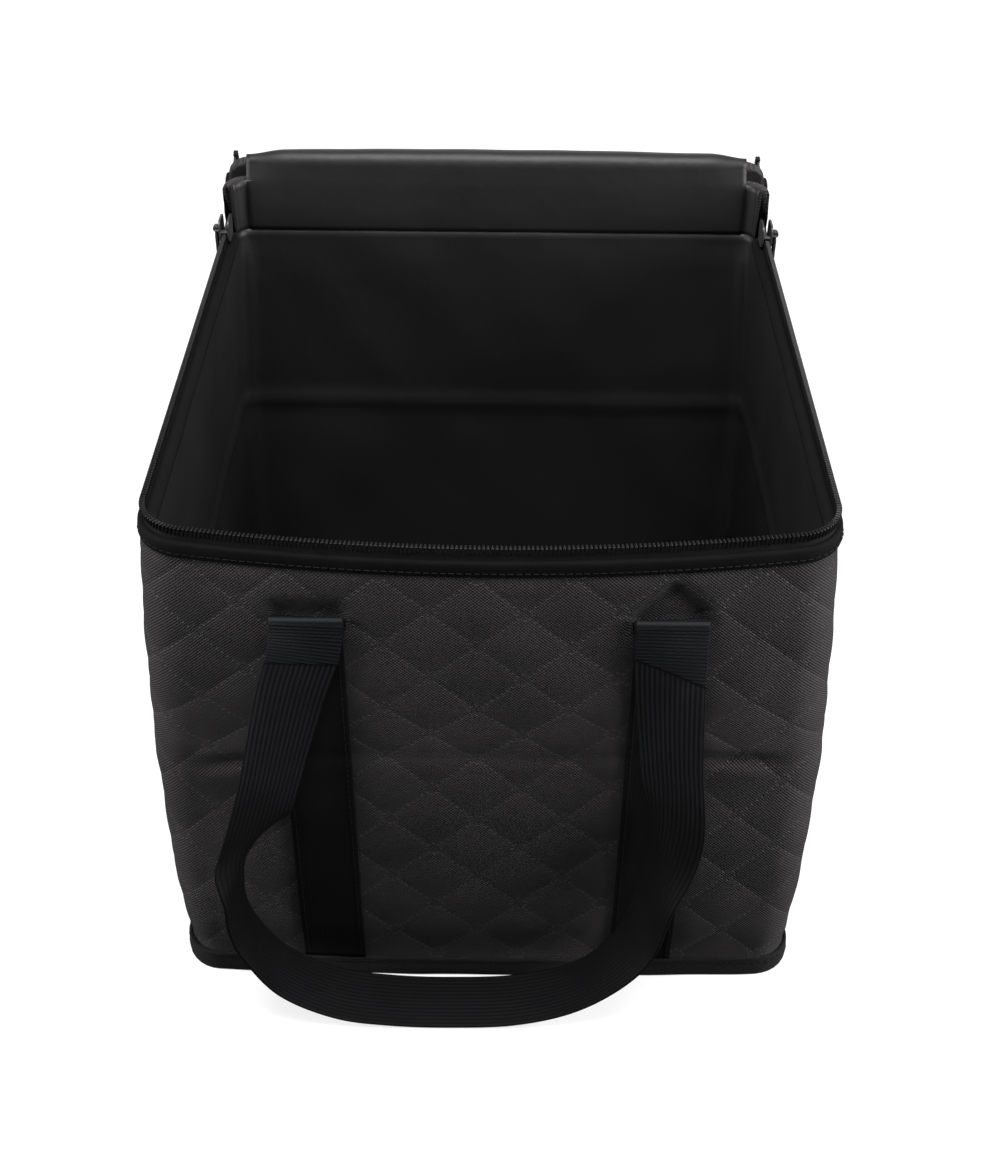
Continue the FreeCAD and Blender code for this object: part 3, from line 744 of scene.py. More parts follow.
zip_weave = woven_finish("zip_weave", TAPE_BLACK, TAPE_GREY, 0.62, 0.08, grain=0.7, sheen=0.01)
coil_nylon = moulded_finish("coil_nylon", COIL_BLACK, COIL_GREY, 0.26, 0.14)
finish_piece("rim_tape", lay_strip(RIM_TAPE[::-1], zip_line_end, TAPE_STEP), zip_weave, "bag",
             ("rim_zip_tape",))
finish_piece("rim_teeth", lay_teeth(RIM_TEETH_HEIGHT, zip_line_end), coil_nylon, "bag",
             ("rim_zip_coil",), smooth=False)

stop_form = bmesh.new()
low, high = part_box("zip_end_stops")
for side in (-1, 1):
    middle = Vector((side * (abs(low[0]) - 0.0014), (low[1] + high[1]) / 2, (low[2] + high[2]) / 2))
    size = Matrix.Diagonal((0.0034, high[1] - low[1], high[2] - low[2] - 0.0006, 1.0))
    bmesh.ops.create_cube(stop_form, size=1.0, matrix=Matrix.Translation(middle) @ size)
round_edges(stop_form, stop_form.edges[:], 0.0005, 3)
finish_piece("zip_stops", stop_form, coil_nylon, "bag", ("zip_end_stops",))


# Back riser: the padded back edge of the wall, which stands up past the zip to carry the lid. Quilted
# cloth outside, turned over the top, with the film lining behind it.
RISER_LOW, RISER_HIGH = 0.2806, 0.3118
RISER_TURN = ((-0.0003, RISER_LOW), (0.0, 0.2850), (0.0002, 0.2900), (0.0003, 0.2950), (0.0002, 0.3000),
              (0.0, 0.3050), (-0.0003, 0.3090), (-0.0012, RISER_HIGH - 0.0004), (-0.0026, RISER_HIGH),
              (-0.0042, RISER_HIGH - 0.0003), (-0.0056, 0.3092), (-0.0060, 0.3050), (-0.0060, 0.2950),
              (-0.0060, RISER_LOW))

RISER_ROWS = len(RISER_TURN) - 1
RISER_FILM_LOW, RISER_FILM_TALL = 0.2800, 0.0310
RISER_FILM_INSET = 0.0062

riser_width = 2 * (HALF_ROUND - SIDE_END)


def riser_lie(place):
    """Place on the riser's flat cloth, on past the turn at its top."""
    out, height = RISER_TURN[round((place.y + 0.5) * RISER_ROWS)]
    return HALF_ROUND + place.x * riser_width, 2 * RISER_HIGH - height if out < -0.0040 else height


def on_back(run, height, out):
    """Place on the wall at a run that goes on past the middle of the back."""
    return on_wall(run if run <= HALF_ROUND else run - 2 * HALF_ROUND, height, out)[0]


riser_form = bmesh.new()
bmesh.ops.create_grid(riser_form, x_segments=round(riser_width / CLOTH_STEP), y_segments=RISER_ROWS, size=0.5)
mark_cloth(riser_form, riser_lie)
for point in riser_form.verts:
    out, height = RISER_TURN[round((point.co.y + 0.5) * RISER_ROWS)]
    run = HALF_ROUND + point.co.x * riser_width
    puff = QUILT_PUFF * (quilt_puff(run, height) - 0.4) if out > -0.0010 else 0.0
    point.co = on_back(run, height, out + puff)
bmesh.ops.holes_fill(riser_form, edges=riser_form.edges, sides=0)
bmesh.ops.recalc_face_normals(riser_form, faces=riser_form.faces)
quilted_riser = finish_piece("quilted_riser", riser_form, quilted_cloth, "bag",
                             ("back_riser",))

riser_film_cloth = flat_cloth(70, 8, riser_width - 0.002, RISER_FILM_TALL, RISER_FILM_LOW)
for point in riser_film_cloth.verts:
    point.co = on_back(HALF_ROUND + point.co.x, point.co.y, -RISER_FILM_INSET)
bmesh.ops.reverse_faces(riser_film_cloth, faces=riser_film_cloth.faces)
riser_film = finish_piece("riser_film", riser_film_cloth, black_film, "bag", (),
                          FILM_THICKNESS)


# Lid: a quilted, padded panel lined with film, cut to the plan of the rim and drawn here shut,
# then swung back about its hinge to hang open behind the bag.
HINGE = Vector((0.0, 0.1565, 0.31895))
LID_SWING = math.radians(250)
LID_FACE = 0.3186
LID_UNDER = 0.3127
LID_PLAN = 0.311
LID_FILM_STEP = 0.0046
OPENING = Matrix.Rotation(-LID_SWING, 3, "X")


def open_lid(form):
    """Swings a form that is drawn on the shut lid to where the open lid hangs."""
    bmesh.ops.rotate(form, cent=HINGE, matrix=OPENING, verts=form.verts)
    return form


def lid_crown(place):
    """1 in the middle of the lid and 0 along its edges."""
    across, deep = place.x / (BAG_WIDTH / 2), place.y / (BAG_DEPTH / 2)
    return max(1 - across ** 2, 0) * max(1 - deep ** 2, 0)


lid_cloth = plan_cloth(LID_PLAN, 0.0003, CLOTH_STEP)
for point in lid_cloth.verts:
    crown = lid_crown(point.co)
    rise = QUILT_PUFF * (quilt_puff(point.co.x, point.co.y) - 0.35) * ease(0.0, 0.25, crown + 0.06)
    rise += 0.0022 * crown + 0.0011 * crown * noise.noise(Vector((point.co.x * 12, point.co.y * 12, 4.4)))
    point.co.z = LID_FACE + rise
edge = [line for line in lid_cloth.edges if line.is_boundary]
turned = bmesh.ops.extrude_edge_only(lid_cloth, edges=edge)["geom"]
for point in turned:
    if isinstance(point, bmesh.types.BMVert):
        point.co.z = LID_UNDER + 0.0004
quilted_lid = finish_piece("quilted_lid", open_lid(lid_cloth), quilted_cloth, "lid",
                           ("lid_outer_panel", "lid_padding"), CLOTH_THICKNESS)

lid_film_cloth = plan_cloth(LID_PLAN, 0.0014, LID_FILM_STEP)
for point in lid_film_cloth.verts:
    crown = lid_crown(point.co)
    wave = noise.noise(Vector((point.co.x * 9, point.co.y * 9, 14.4)))
    wave += 0.6 * noise.noise(Vector((point.co.x * 30 + point.co.y * 12, point.co.y * 18, 3.3)))
    crease = dent(point.co.y - 0.012 - 0.004 * wave, 0.005)
    point.co.z = LID_UNDER + ease(0.0, 0.3, crown) * (0.0012 + 0.0011 * wave - 0.0010 * crease)
bmesh.ops.reverse_faces(lid_film_cloth, faces=lid_film_cloth.faces)
lid_film = finish_piece("lid_film", open_lid(lid_film_cloth), black_film, "lid",
                        ("lid_lining",), FILM_THICKNESS)


# Lid skirt: a narrow standing strip of ribbed cloth sewn under the lid's edge, with the other half of
# the zip along its free edge, and a felted binding rolled over the seam.
SKIRT_TURN = [(-0.0010 - 0.0004 * math.sin(row * math.pi / 8), 0.2972 + 0.0152 * row / 8) for row in range(9)]
LID_BINDING_TURN = ((-0.0009, 0.3098), (0.0007, 0.3095), (0.0017, 0.3101), (0.0020, 0.3116),
                    (0.0021, 0.3150), (0.0020, 0.3175), (0.0015, 0.3190), (0.0003, 0.3198),
                    (-0.0016, 0.3200), (-0.0034, 0.3197), (-0.0044, 0.3190))
LID_TAPE_TURN = ((-0.0020, 0.2998), (-0.0020, 0.2950), (-0.0017, 0.2944),
                 (-0.0012, 0.2950), (-0.0011, 0.2970), (-0.0012, 0.2998))
LID_TEETH_HEIGHT = 0.2933
SKIRT_THICKNESS = 0.0011
LID_BINDING_THICKNESS = 0.0008
SKIRT_BLACK = (0.0130, 0.0126, 0.0133, 1.0)
SKIRT_GREY = (0.0330, 0.0322, 0.0338, 1.0)

ribbed_cloth = woven_finish("ribbed_cloth", SKIRT_BLACK, SKIRT_GREY, 0.66, 0.14, grain=1.3)
finish_piece("lid_skirt_strip", open_lid(lay_strip(SKIRT_TURN, zip_line_end, STRIP_STEP, 0.0004)),
             ribbed_cloth, "lid", ("lid_skirt",), SKIRT_THICKNESS)
finish_piece("lid_binding", open_lid(lay_strip(LID_BINDING_TURN, zip_line_end, STRIP_STEP, 0.0003)),
             felt_tape, "lid", ("lid_edge_binding",), LID_BINDING_THICKNESS)
finish_piece("lid_tape", open_lid(lay_strip(LID_TAPE_TURN, zip_line_end, TAPE_STEP)), zip_weave, "lid",
             ("lid_zip_tape",))
finish_piece("lid_teeth", open_lid(lay_teeth(LID_TEETH_HEIGHT, zip_line_end)), coil_nylon, "lid",
             ("lid_zip_coil",), smooth=False)


# Hinge: the film lining runs on over the top of the riser to the lid in one soft roll, and a strip of
# the outer cloth covers the fold outside. Both are drawn bent from the bag to the open lid and are tied to
# neither.
HINGE_HALF = 0.1412
ROLL_RADIUS = 0.0064
FILM_ROLL_LENGTH = 0.085
ROLL_END = math.radians(20)
FILM_RISE = ((0.1478, 0.2815), (0.1476, 0.2840), (0.1475, 0.2880), (0.1475, 0.2930),
             (0.1476, 0.2980), (0.1478, 0.3030), (0.1482, 0.3080), (0.1488, 0.3125))
FILM_FALL = (0.004, 0.009, 0.015, 0.022, 0.030)
FOLD_RISE = ((0.1557, 0.3000), (0.1558, 0.3070), (0.1558, 0.3140), (0.15582, 0.3165), (0.15598, 0.3174),
             (0.15618, 0.31745))
FOLD_ON_LID = ((0.1545, 0.3199), (0.1515, 0.3200), (0.1470, 0.3199), (0.1420, 0.3196))
FOLD_LOW, FOLD_LENGTH = 0.300, 0.034
FOLD_THICKNESS = 0.0005


def on_roll(turn):
    """Place on the roll of film, at an angle about the hinge."""
    return HINGE + Vector((0, math.cos(turn), math.sin(turn))) * ROLL_RADIUS


film_route = [Vector((0, *place)) for place in FILM_RISE]
film_route += [on_roll(math.radians(angle)) for angle in range(180, 10, -10)]
lid_way = Vector((0.0, math.sin(ROLL_END), -math.cos(ROLL_END)))
film_route += [on_roll(ROLL_END) + lid_way * past for past in FILM_FALL]
roll_rows = len(film_route) - 1
film_roll_cloth = flat_cloth(110, roll_rows, 2 * HINGE_HALF, FILM_ROLL_LENGTH)
for point in film_roll_cloth.verts:
    across = point.co.x
    spot = film_route[round((point.co.y / FILM_ROLL_LENGTH + 0.5) * roll_rows)]
    away = spot - HINGE
    loft = (0.0014 * (1 - (across / HINGE_HALF) ** 2)
            + 0.0005 * noise.noise(Vector((across * 26, away.y * 60, 2.0))))
    loft *= 1 - ease(0.010, 0.022, away.length)
    loft -= 0.0024 * ease(0.120, HINGE_HALF, abs(across)) * dent(away.length - ROLL_RADIUS, 0.002)
    slack = 0.0007 * noise.noise(Vector((across * 18, spot.z * 30, 7.0))) * dent(spot.z - 0.297, 0.012)
    point.co = spot + away.normalized() * loft + Vector((across, slack if spot.y < 0.1490 else 0.0, 0))
film_roll = finish_piece("film_roll", film_roll_cloth, black_film, None, ("lid_hinge_tape",),
                         FILM_THICKNESS)
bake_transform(film_roll)

fold_route = [Vector((0, *place)) for place in FOLD_RISE]
fold_route += [HINGE + OPENING @ (Vector((0, *place)) - HINGE) for place in FOLD_ON_LID]
fold_rows = len(fold_route) - 1
fold_cloth = flat_cloth(90, fold_rows, 2 * HINGE_HALF - 0.004, FOLD_LENGTH, FOLD_LOW)
for point in fold_cloth.verts:
    spot = fold_route[round(((point.co.y - FOLD_LOW) / FOLD_LENGTH) * fold_rows)]
    point.co = spot + Vector((-point.co.x, 0, 0))
hinge_fold = finish_piece("hinge_fold", fold_cloth, quilted_cloth, None, (), FOLD_THICKNESS)
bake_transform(hinge_fold)


# Webbing bands: four lengths of ribbed webbing, sewn down on the front and back walls from the base seam up
# to the handles and stitched along both edges.
FACES = ("front", "back")
SIDES = (("left", -1), ("right", 1))
BAND_LOW, BAND_HIGH = 0.0122, 0.2466
WEBBING_THICKNESS = 0.0015
RIBS = 14
RIB_COLUMNS = 5
RIB_HEIGHT = 0.00013
WEBBING_BLACK = (0.0026, 0.0027, 0.0030, 1.0)
WEBBING_BLUE = (0.0125, 0.0130, 0.0145, 1.0)
# Painted shade colour, for the middle of each handle and the whole of each band.
PAINTED_SHADE_BLACK = (0.0016, 0.0016, 0.0018, 1.0)
BAND_BLACK = (0.0135, 0.0135, 0.0138, 1.0)
BAND_GREY = (0.0160, 0.0162, 0.0168, 1.0)


def rib(across):
    """Height of the webbing's lengthwise ribs at a place across it."""
    return RIB_HEIGHT * abs(math.sin(math.pi * RIBS * (across / WEBBING_WIDTH + 0.5)))


def webbing_finish(name, dark, light, painted_shade_to):
    """Ribbed black webbing: slanted threads on each rib, painted highlight on the rib crowns and painted
    shade in the grooves, and painted shade over the whole colour up to a distance along it.
    """
    finish, tree = new_finish(name)
    across, along = cloth_measure(tree)
    ribs = weigh(tree, "SINE", weigh(tree, "MULTIPLY", across, math.pi * RIBS / WEBBING_WIDTH))
    ribs = weigh(tree, "POWER", weigh(tree, "ABSOLUTE", ribs), 2.0)
    # Painted shade: up to that distance along, the colour is three quarters painted shade black.
    painted_light_mix = fade(tree, weigh(tree, "ABSOLUTE", along), painted_shade_to - 0.03, painted_shade_to + 0.03, 0.25, 1.0)
    slant = weigh(tree, "MULTIPLY", across, 2000 * math.pi / 1.6)
    thread = weigh(tree, "SINE", weigh(tree, "MULTIPLY_ADD", along, 2000 * math.pi / 1.1, slant))
    place = fixed_place(tree)
    cloud = blot(tree, place, 45.0, 3.0)
    fuzz = blot(tree, place, 2200.0, 2.0)
    height = weigh(tree, "MULTIPLY_ADD", thread, 0.04, weigh(tree, "MULTIPLY", fuzz, 0.05))
    # Painted highlight and shade: the colour is paler on the rib crowns and darker in the grooves.
    shade = weigh(tree, "MULTIPLY", ribs,
                  weigh(tree, "MULTIPLY_ADD", thread, 0.35, weigh(tree, "ADD", cloud, 0.25)))
    colour = tint(tree, painted_light_mix, PAINTED_SHADE_BLACK, tint(tree, shade, dark, light))
    coat(tree, colour, weigh(tree, "MULTIPLY_ADD", cloud, 0.16, 0.50), height, specular=0.06)
    return finish


def band_place(face, side, across, height, out=0.0):
    """Place and outward direction on a sewn band."""
    middle = WEBBING_SPACING / 2 if face == "front" else HALF_ROUND - WEBBING_SPACING / 2
    around = side * middle + across
    return on_wall(around, height, wall_relief(around, height) + 0.0004 + WEBBING_THICKNESS + out)


# Painted shade over the whole band, as the distance reaches past its length.
flat_webbing = webbing_finish("flat_webbing", BAND_BLACK, BAND_GREY, 1.0)
for face in FACES:
    for label, side in SIDES:
        band_cloth = flat_cloth(RIB_COLUMNS * RIBS, 64, WEBBING_WIDTH, BAND_HIGH - BAND_LOW, BAND_LOW)
        for point in band_cloth.verts:
            across, height = point.co.x, point.co.y
            point.co = band_place(face, side, across, height, 0.4 * rib(across))[0]
        name = face + "_" + label
        band = finish_piece(name + "_band", band_cloth, flat_webbing, "bag",
                            (name + "_webbing_band",), WEBBING_THICKNESS)


# Carry handles: one length of the same webbing each, folded over the top of its two bands. It hangs
# free, turns on edge and lies along the ground in front of the base; the doubled ends show the
# webbing's cross ribs.
FRONT_AXIS = 0.1703653
BACK_AXIS = 0.1578459
FRONT_RUN_OUT = 0.17921
BACK_RUN_OUT = 0.17665
HANDLE_BOW = 0.0050
HANDLE_LOWEST = 0.0021
FOLD_RADIUS = 0.00105
CROSS_RIB = 0.0017
DOUBLED = ((0.0205, 0.0025), (0.0225, 0.0058))
DOUBLED_END = 0.036
TRAIL_STEPS = 40
FREE_ROW = 0.0032
KNEES = ((0.110, -1.1), (0.135, 1.1))
KNEE_REACH = 0.040
KNEE_TURNS = ((30.0, 80.0), (113.0, 150.0))
FRONT_ROUTE = (
    (-1.00, 0.00, 0.00, 0.000, 0.0), (-1.02, 0.29, 0.00, 0.059, 8.0), (-1.10, 0.63, 0.00, 0.144, 16.0),
    (-1.19, 0.95, 0.00, 0.258, 25.0), (-1.27, 1.00, 0.36, 0.363, 33.0), (-1.36, 1.00, 0.72, 0.465, 43.0),
    (-1.44, 1.00, 0.96, 0.530, 58.0), (-1.50, 1.00, 1.02, 0.591, 76.0), (-1.53, 1.00, 0.92, 0.688, 84.0),
    (-1.49, 1.00, 0.68, 0.781, 90.0), (-1.30, 1.00, 0.46, 0.895, 90.0), (-0.97, 1.00, 0.32, 0.968, 90.0),
    (-0.62, 1.00, 0.18, 0.994, 90.0), (-0.23, 1.00, 0.12, 1.000, 90.0), (0.19, 1.00, 0.12, 0.990, 88.0),
    (0.56, 1.00, 0.22, 0.944, 88.0), (0.82, 1.00, 0.42, 0.856, 99.0), (0.96, 1.00, 0.62, 0.753, 113.0),
    (1.04, 1.00, 0.76, 0.607, 124.0), (1.08, 1.00, 0.72, 0.497, 134.0), (1.08, 1.00, 0.52, 0.400, 142.0),
    (1.04, 1.00, 0.12, 0.270, 151.0), (1.01, 0.72, 0.00, 0.140, 162.0), (1.00, 0.33, 0.00, 0.055, 174.0),
    (1.00, 0.00, 0.00, 0.000, 180.0))
BACK_HALF_ROUTE = (
    (-1.00, 0.00, 0.00, 0.000, 0.0), (-1.02, 0.10, 0.00, 0.080, 3.0), (-1.08, 0.28, 0.00, 0.190, 8.0),
    (-1.16, 0.50, 0.00, 0.310, 16.0), (-1.24, 0.72, 0.00, 0.430, 30.0), (-1.30, 0.92, 0.00, 0.550, 55.0),
    (-1.30, 1.00, 0.00, 0.680, 76.0), (-1.20, 1.00, 0.00, 0.800, 86.0), (-1.00, 1.00, 0.00, 0.895, 90.0),
    (-0.62, 1.00, 0.00, 0.972, 90.0), (-0.20, 1.00, 0.00, 1.000, 90.0))
BACK_ROUTE = BACK_HALF_ROUTE + tuple(
    (-across, out, bow, drop, 180.0 - turn) for across, out, bow, drop, turn in reversed(BACK_HALF_ROUTE))


def handle_trail(axis, run_out, way):
    """Fine run of places along a hanging handle's middle, each with its turn, and the length up to each."""
    leg = axis + FOLD_RADIUS
    knots = []
    for across, out, bow, drop, turn in way:
        height = HANDLE_LOWEST + (HANDLE_HEIGHT - HANDLE_LOWEST) * (1 - drop)
        away = leg + out * (run_out - leg) + bow * HANDLE_BOW
        knots.append(Vector((across * WEBBING_SPACING / 2, -away, height, turn)))
    lead = Vector((0, 0, (knots[0] - knots[1]).xyz.length, 0))
    knots = [knots[0] + lead] + knots + [knots[-1] + lead]
    trail = []
    for first in range(len(knots) - 3):
        a, b, c, d = knots[first:first + 4]
        for step in range(TRAIL_STEPS):
            t = step / TRAIL_STEPS
            trail.append(0.5 * (2 * b + (c - a) * t + (2 * a - 5 * b + 4 * c - d) * t ** 2
                                + (3 * b - a - 3 * c + d) * t ** 3))
    trail.append(knots[-2])
    reach = [0.0]
    for low, high in zip(trail, trail[1:]):
        reach.append(reach[-1] + (high - low).xyz.length)
    for place in trail:
        for low, high in KNEE_TURNS:
            if low < place.w < high:
                place.w = low + (high - low) * ease(0.2, 0.8, (place.w - low) / (high - low))
    return trail, reach


def on_trail(trail, reach, axis, mark):
    """Place and turn at a length along a handle; past either end, on the fold behind the band."""
    past = -mark if mark < 0 else mark - reach[-1]
    if past > 0:
        end = trail[0] if mark < 0 else trail[-1]
        bend = math.pi - min(past / FOLD_RADIUS, math.pi)
        height = HANDLE_HEIGHT + FOLD_RADIUS * math.sin(bend) - max(past - math.pi * FOLD_RADIUS, 0.0)
        return Vector((end.x, -axis + FOLD_RADIUS * math.cos(bend), height, end.w))
    at = min(max(bisect.bisect_right(reach, mark) - 1, 0), len(reach) - 2)
    return trail[at].lerp(trail[at + 1], (mark - reach[at]) / (reach[at + 1] - reach[at]))


def doubled_part(across, mark, whole):
    """Distance in from a handle's nearer end, and 0 on its doubled end or 1 on the free webbing."""
    inward, (length, oblique) = min((mark, DOUBLED[0]), (whole - mark, DOUBLED[1]))
    length += oblique * across / (WEBBING_WIDTH / 2)
    return inward, ease(length - 0.0004, length + 0.0006, inward)


def hang_handle(name, axis, run_out, way, about):
    """Handle laid along its trail, turned about the upright through the middle of the bag."""
    trail, reach = handle_trail(axis, run_out, way)
    whole = reach[-1]
    fold = math.pi * FOLD_RADIUS
    ends = [-fold - 0.0045, -fold - 0.0020] + [-fold * (1 - step / 6) for step in range(6)]
    ends += [row * CROSS_RIB / 4 for row in range(round(DOUBLED_END / CROSS_RIB * 4))]
    free_rows = round((whole - 2 * DOUBLED_END) / FREE_ROW)
    marks = ends + [DOUBLED_END + (whole - 2 * DOUBLED_END) * row / free_rows for row in range(free_rows + 1)]
    marks += [whole - mark for mark in reversed(ends)]
    half = len(trail) // 2
    knees = []
    for (height, slant), part in zip(KNEES, (range(half), range(half, len(trail)))):
        knees.append((reach[min(part, key=lambda at: abs(trail[at].z - height))], slant))
    rows = len(marks) - 1
    strap = bmesh.new()
    bmesh.ops.create_grid(strap, x_segments=RIB_COLUMNS * RIBS, y_segments=rows, size=0.5)
    measure = strap.loops.layers.uv.verify()
    for face in strap.faces:
        places = [corner.vert.co for corner in face.loops]
        spots = [(place.x * WEBBING_WIDTH, marks[round((place.y + 0.5) * rows)]) for place in places]
        cross_ribbed = doubled_part(spots[0][0], sum(spot[1] for spot in spots) / 4, whole)[1] < 0.5
        for corner, (across, mark) in zip(face.loops, spots):
            along = mark - whole / 2
            turned = (along * WEBBING_WIDTH / RIBS / CROSS_RIB, 1.0 + across)
            corner[measure].uv = turned if cross_ribbed else (across, along)
    for point in strap.verts:
        across, mark = point.co.x * WEBBING_WIDTH, marks[round((point.co.y + 0.5) * rows)]
        ruling = mark
        for knee, slant in knees:
            ruling += slant * across * dent(mark - knee, KNEE_REACH)
        place = on_trail(trail, reach, axis, ruling)
        ahead, behind = [on_trail(trail, reach, axis, ruling + step) for step in (0.0003, -0.0003)]
        along = (ahead - behind).xyz.normalized()
        turn = math.radians(place.w)
        wide = Vector((-math.cos(turn), -math.sin(turn), 0))
        wide = (wide - along * wide.dot(along)).normalized()
        facing = wide.cross(along)
        inward, free = doubled_part(across, mark, whole)
        crossed = RIB_HEIGHT * abs(math.sin(math.pi * (mark - whole / 2) / CROSS_RIB))
        crossed += 0.0006 * ease(-fold, 0.0, inward)
        lift = free * rib(across) + (1 - free) * crossed
        point.co = (place.xyz + wide * across + along * (mark - ruling)
                    + facing * (lift + WEBBING_THICKNESS / 2))
    bmesh.ops.rotate(strap, cent=(0, 0, 0), matrix=Matrix.Rotation(about, 3, "Z"), verts=strap.verts)
    handle = finish_piece(name + "_strap", strap, ribbed_webbing, None, (name + "_webbing",),
                          WEBBING_THICKNESS)
    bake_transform(handle)
    face = name.split("_")[0]


# Painted shade over the middle of each handle: the lower legs and the run along the ground.
ribbed_webbing = webbing_finish("ribbed_webbing", WEBBING_BLACK, WEBBING_BLUE, 0.21)
hang_handle("front_handle", FRONT_AXIS, FRONT_RUN_OUT, FRONT_ROUTE, 0.0)
hang_handle("back_handle", BACK_AXIS, BACK_RUN_OUT, BACK_ROUTE, math.pi)


# Sliders: pressed and painted metal, two plates that clasp the tape, joined by a wedge between the rows
# of teeth, with a bent wire bail outside for the pull.
SLIDER_Y = 0.1306
SLIDER_LENGTH = 0.0140
SLIDER_LOW, SLIDER_HIGH = 0.2837, 0.29685
SLIDER_PLATE = 0.0012
SLIDER_CHANNEL = 0.0018
ZIP_X = BAG_WIDTH / 2 + ZIP_INSET
BAIL_Z = 0.29025
BAIL_OUT = 0.0053
BAIL_RADIUS = 0.0007
BAIL_LENGTH = 0.0092
BAIL_BEND = 0.0012
METAL_BLACK = (0.0150, 0.0150, 0.0160, 1.0)
METAL_WORN = (0.0480, 0.0480, 0.0500, 1.0)

painted_metal = moulded_finish("painted_metal", METAL_BLACK, METAL_WORN, 0.26, 0.50, metallic=0.35)


def pressed_plate(form, middle, size, corner, edge):
    """Plate whose thickness is along X, with rounded corners and softened edges."""
    made = bmesh.ops.create_cube(form, size=1.0,
                                 matrix=Matrix.Translation(middle) @ Matrix.Diagonal((*size, 1.0)))
    long_edges = [line for line in form.edges if set(line.verts) <= set(made["verts"])
                  and abs((line.verts[0].co - line.verts[1].co).normalized().x) > 0.9]
    round_edges(form, long_edges, corner, 5)
    rim = [line for line in form.edges if not line.is_boundary and line.calc_face_angle(0.0) > 1.0
           and abs((line.verts[0].co - line.verts[1].co).normalized().x) < 0.5
           and min(abs(vert.co.x - middle.x) for vert in line.verts) > size[0] * 0.4
           and (line.verts[0].co - middle).length < max(size)]
    round_edges(form, rim, edge, 2)


def add_form(form, extra, name):
    """Adds a finished form to another."""
    mesh = bpy.data.meshes.new(name)
    extra.to_mesh(mesh)
    extra.free()
    form.from_mesh(mesh)
    bpy.data.meshes.remove(mesh)


def bent_wire(form, route, radius, sides=12):
    """Round wire along a list of places, closed at both ends."""
    wire = bmesh.new()
    rows = len(route) - 1
    bmesh.ops.create_grid(wire, x_segments=sides, y_segments=rows, size=0.5)
    for point in wire.verts:
        row = round((point.co.y + 0.5) * rows)
        along = (route[min(row + 1, rows)] - route[max(row - 1, 0)]).normalized()
        first = (along.orthogonal().normalized() if abs(along.z) > 0.9
                 else along.cross(Vector((0, 0, 1))).normalized())
        second = along.cross(first)
        turn = 2 * math.pi * (point.co.x + 0.5)
        point.co = route[row] + radius * (first * math.cos(turn) + second * math.sin(turn))
    bmesh.ops.remove_doubles(wire, verts=wire.verts, dist=1e-6)
    bmesh.ops.holes_fill(wire, edges=wire.edges, sides=0)
    bmesh.ops.recalc_face_normals(wire, faces=wire.faces)
    add_form(form, wire, "wire")


for label, side in SIDES:
    slider_form = bmesh.new()
    plate_out = SLIDER_CHANNEL + SLIDER_PLATE / 2
    tall = SLIDER_HIGH - SLIDER_LOW
    for way in (-1, 1):
        middle = Vector((side * (ZIP_X + way * plate_out), SLIDER_Y, (SLIDER_LOW + SLIDER_HIGH) / 2))
        pressed_plate(slider_form, middle, (SLIDER_PLATE, SLIDER_LENGTH, tall), 0.0036, 0.0003)
        lip = Vector((side * (ZIP_X + way * (SLIDER_CHANNEL - 0.0005)), SLIDER_Y, SLIDER_LOW + 0.0004))
        pressed_plate(slider_form, lip, (0.0010, SLIDER_LENGTH - 0.0060, 0.0008), 0.0002, 0.0001)
    wedge = Vector((side * ZIP_X, SLIDER_Y - SLIDER_LENGTH / 2 + 0.0017, BAIL_Z))
    pressed_plate(slider_form, wedge, (2 * SLIDER_CHANNEL + 0.0004, 0.0030, 0.0012), 0.0004, 0.0001)
    foot, crown = side * (ZIP_X + 0.0026), side * (ZIP_X + BAIL_OUT)
    half = BAIL_LENGTH / 2 - BAIL_RADIUS
    bail_route = [Vector((foot, SLIDER_Y - half, BAIL_Z))]
    for end in (-1, 1):
        for step in range(6):
            turn = math.pi / 2 * (step / 5 if end < 0 else 1 - step / 5)
            bail_route.append(Vector((crown - side * BAIL_BEND * (1 - math.sin(turn)),
                                      SLIDER_Y + end * (half - BAIL_BEND + BAIL_BEND * math.cos(turn)),
                                      BAIL_Z)))
    bail_route.append(Vector((foot, SLIDER_Y + half, BAIL_Z)))
    bent_wire(slider_form, bail_route, BAIL_RADIUS)
    finish_piece(label + "_slider_shell", slider_form, painted_metal, label + "_slider",
                 (label + "_slider_body",), smooth=False)


# Pulls: flat pressed tabs with a rolled eye that hangs on the bail, a sunk face and a rounded end.
PULL_LENGTH = 0.0220
PULL_WIDTH = 0.0060
PULL_THICKNESS = 0.0014
EYE_WALL = 0.00042
EYE_RADIUS = 0.00142
EYE_STRETCH = 5.6

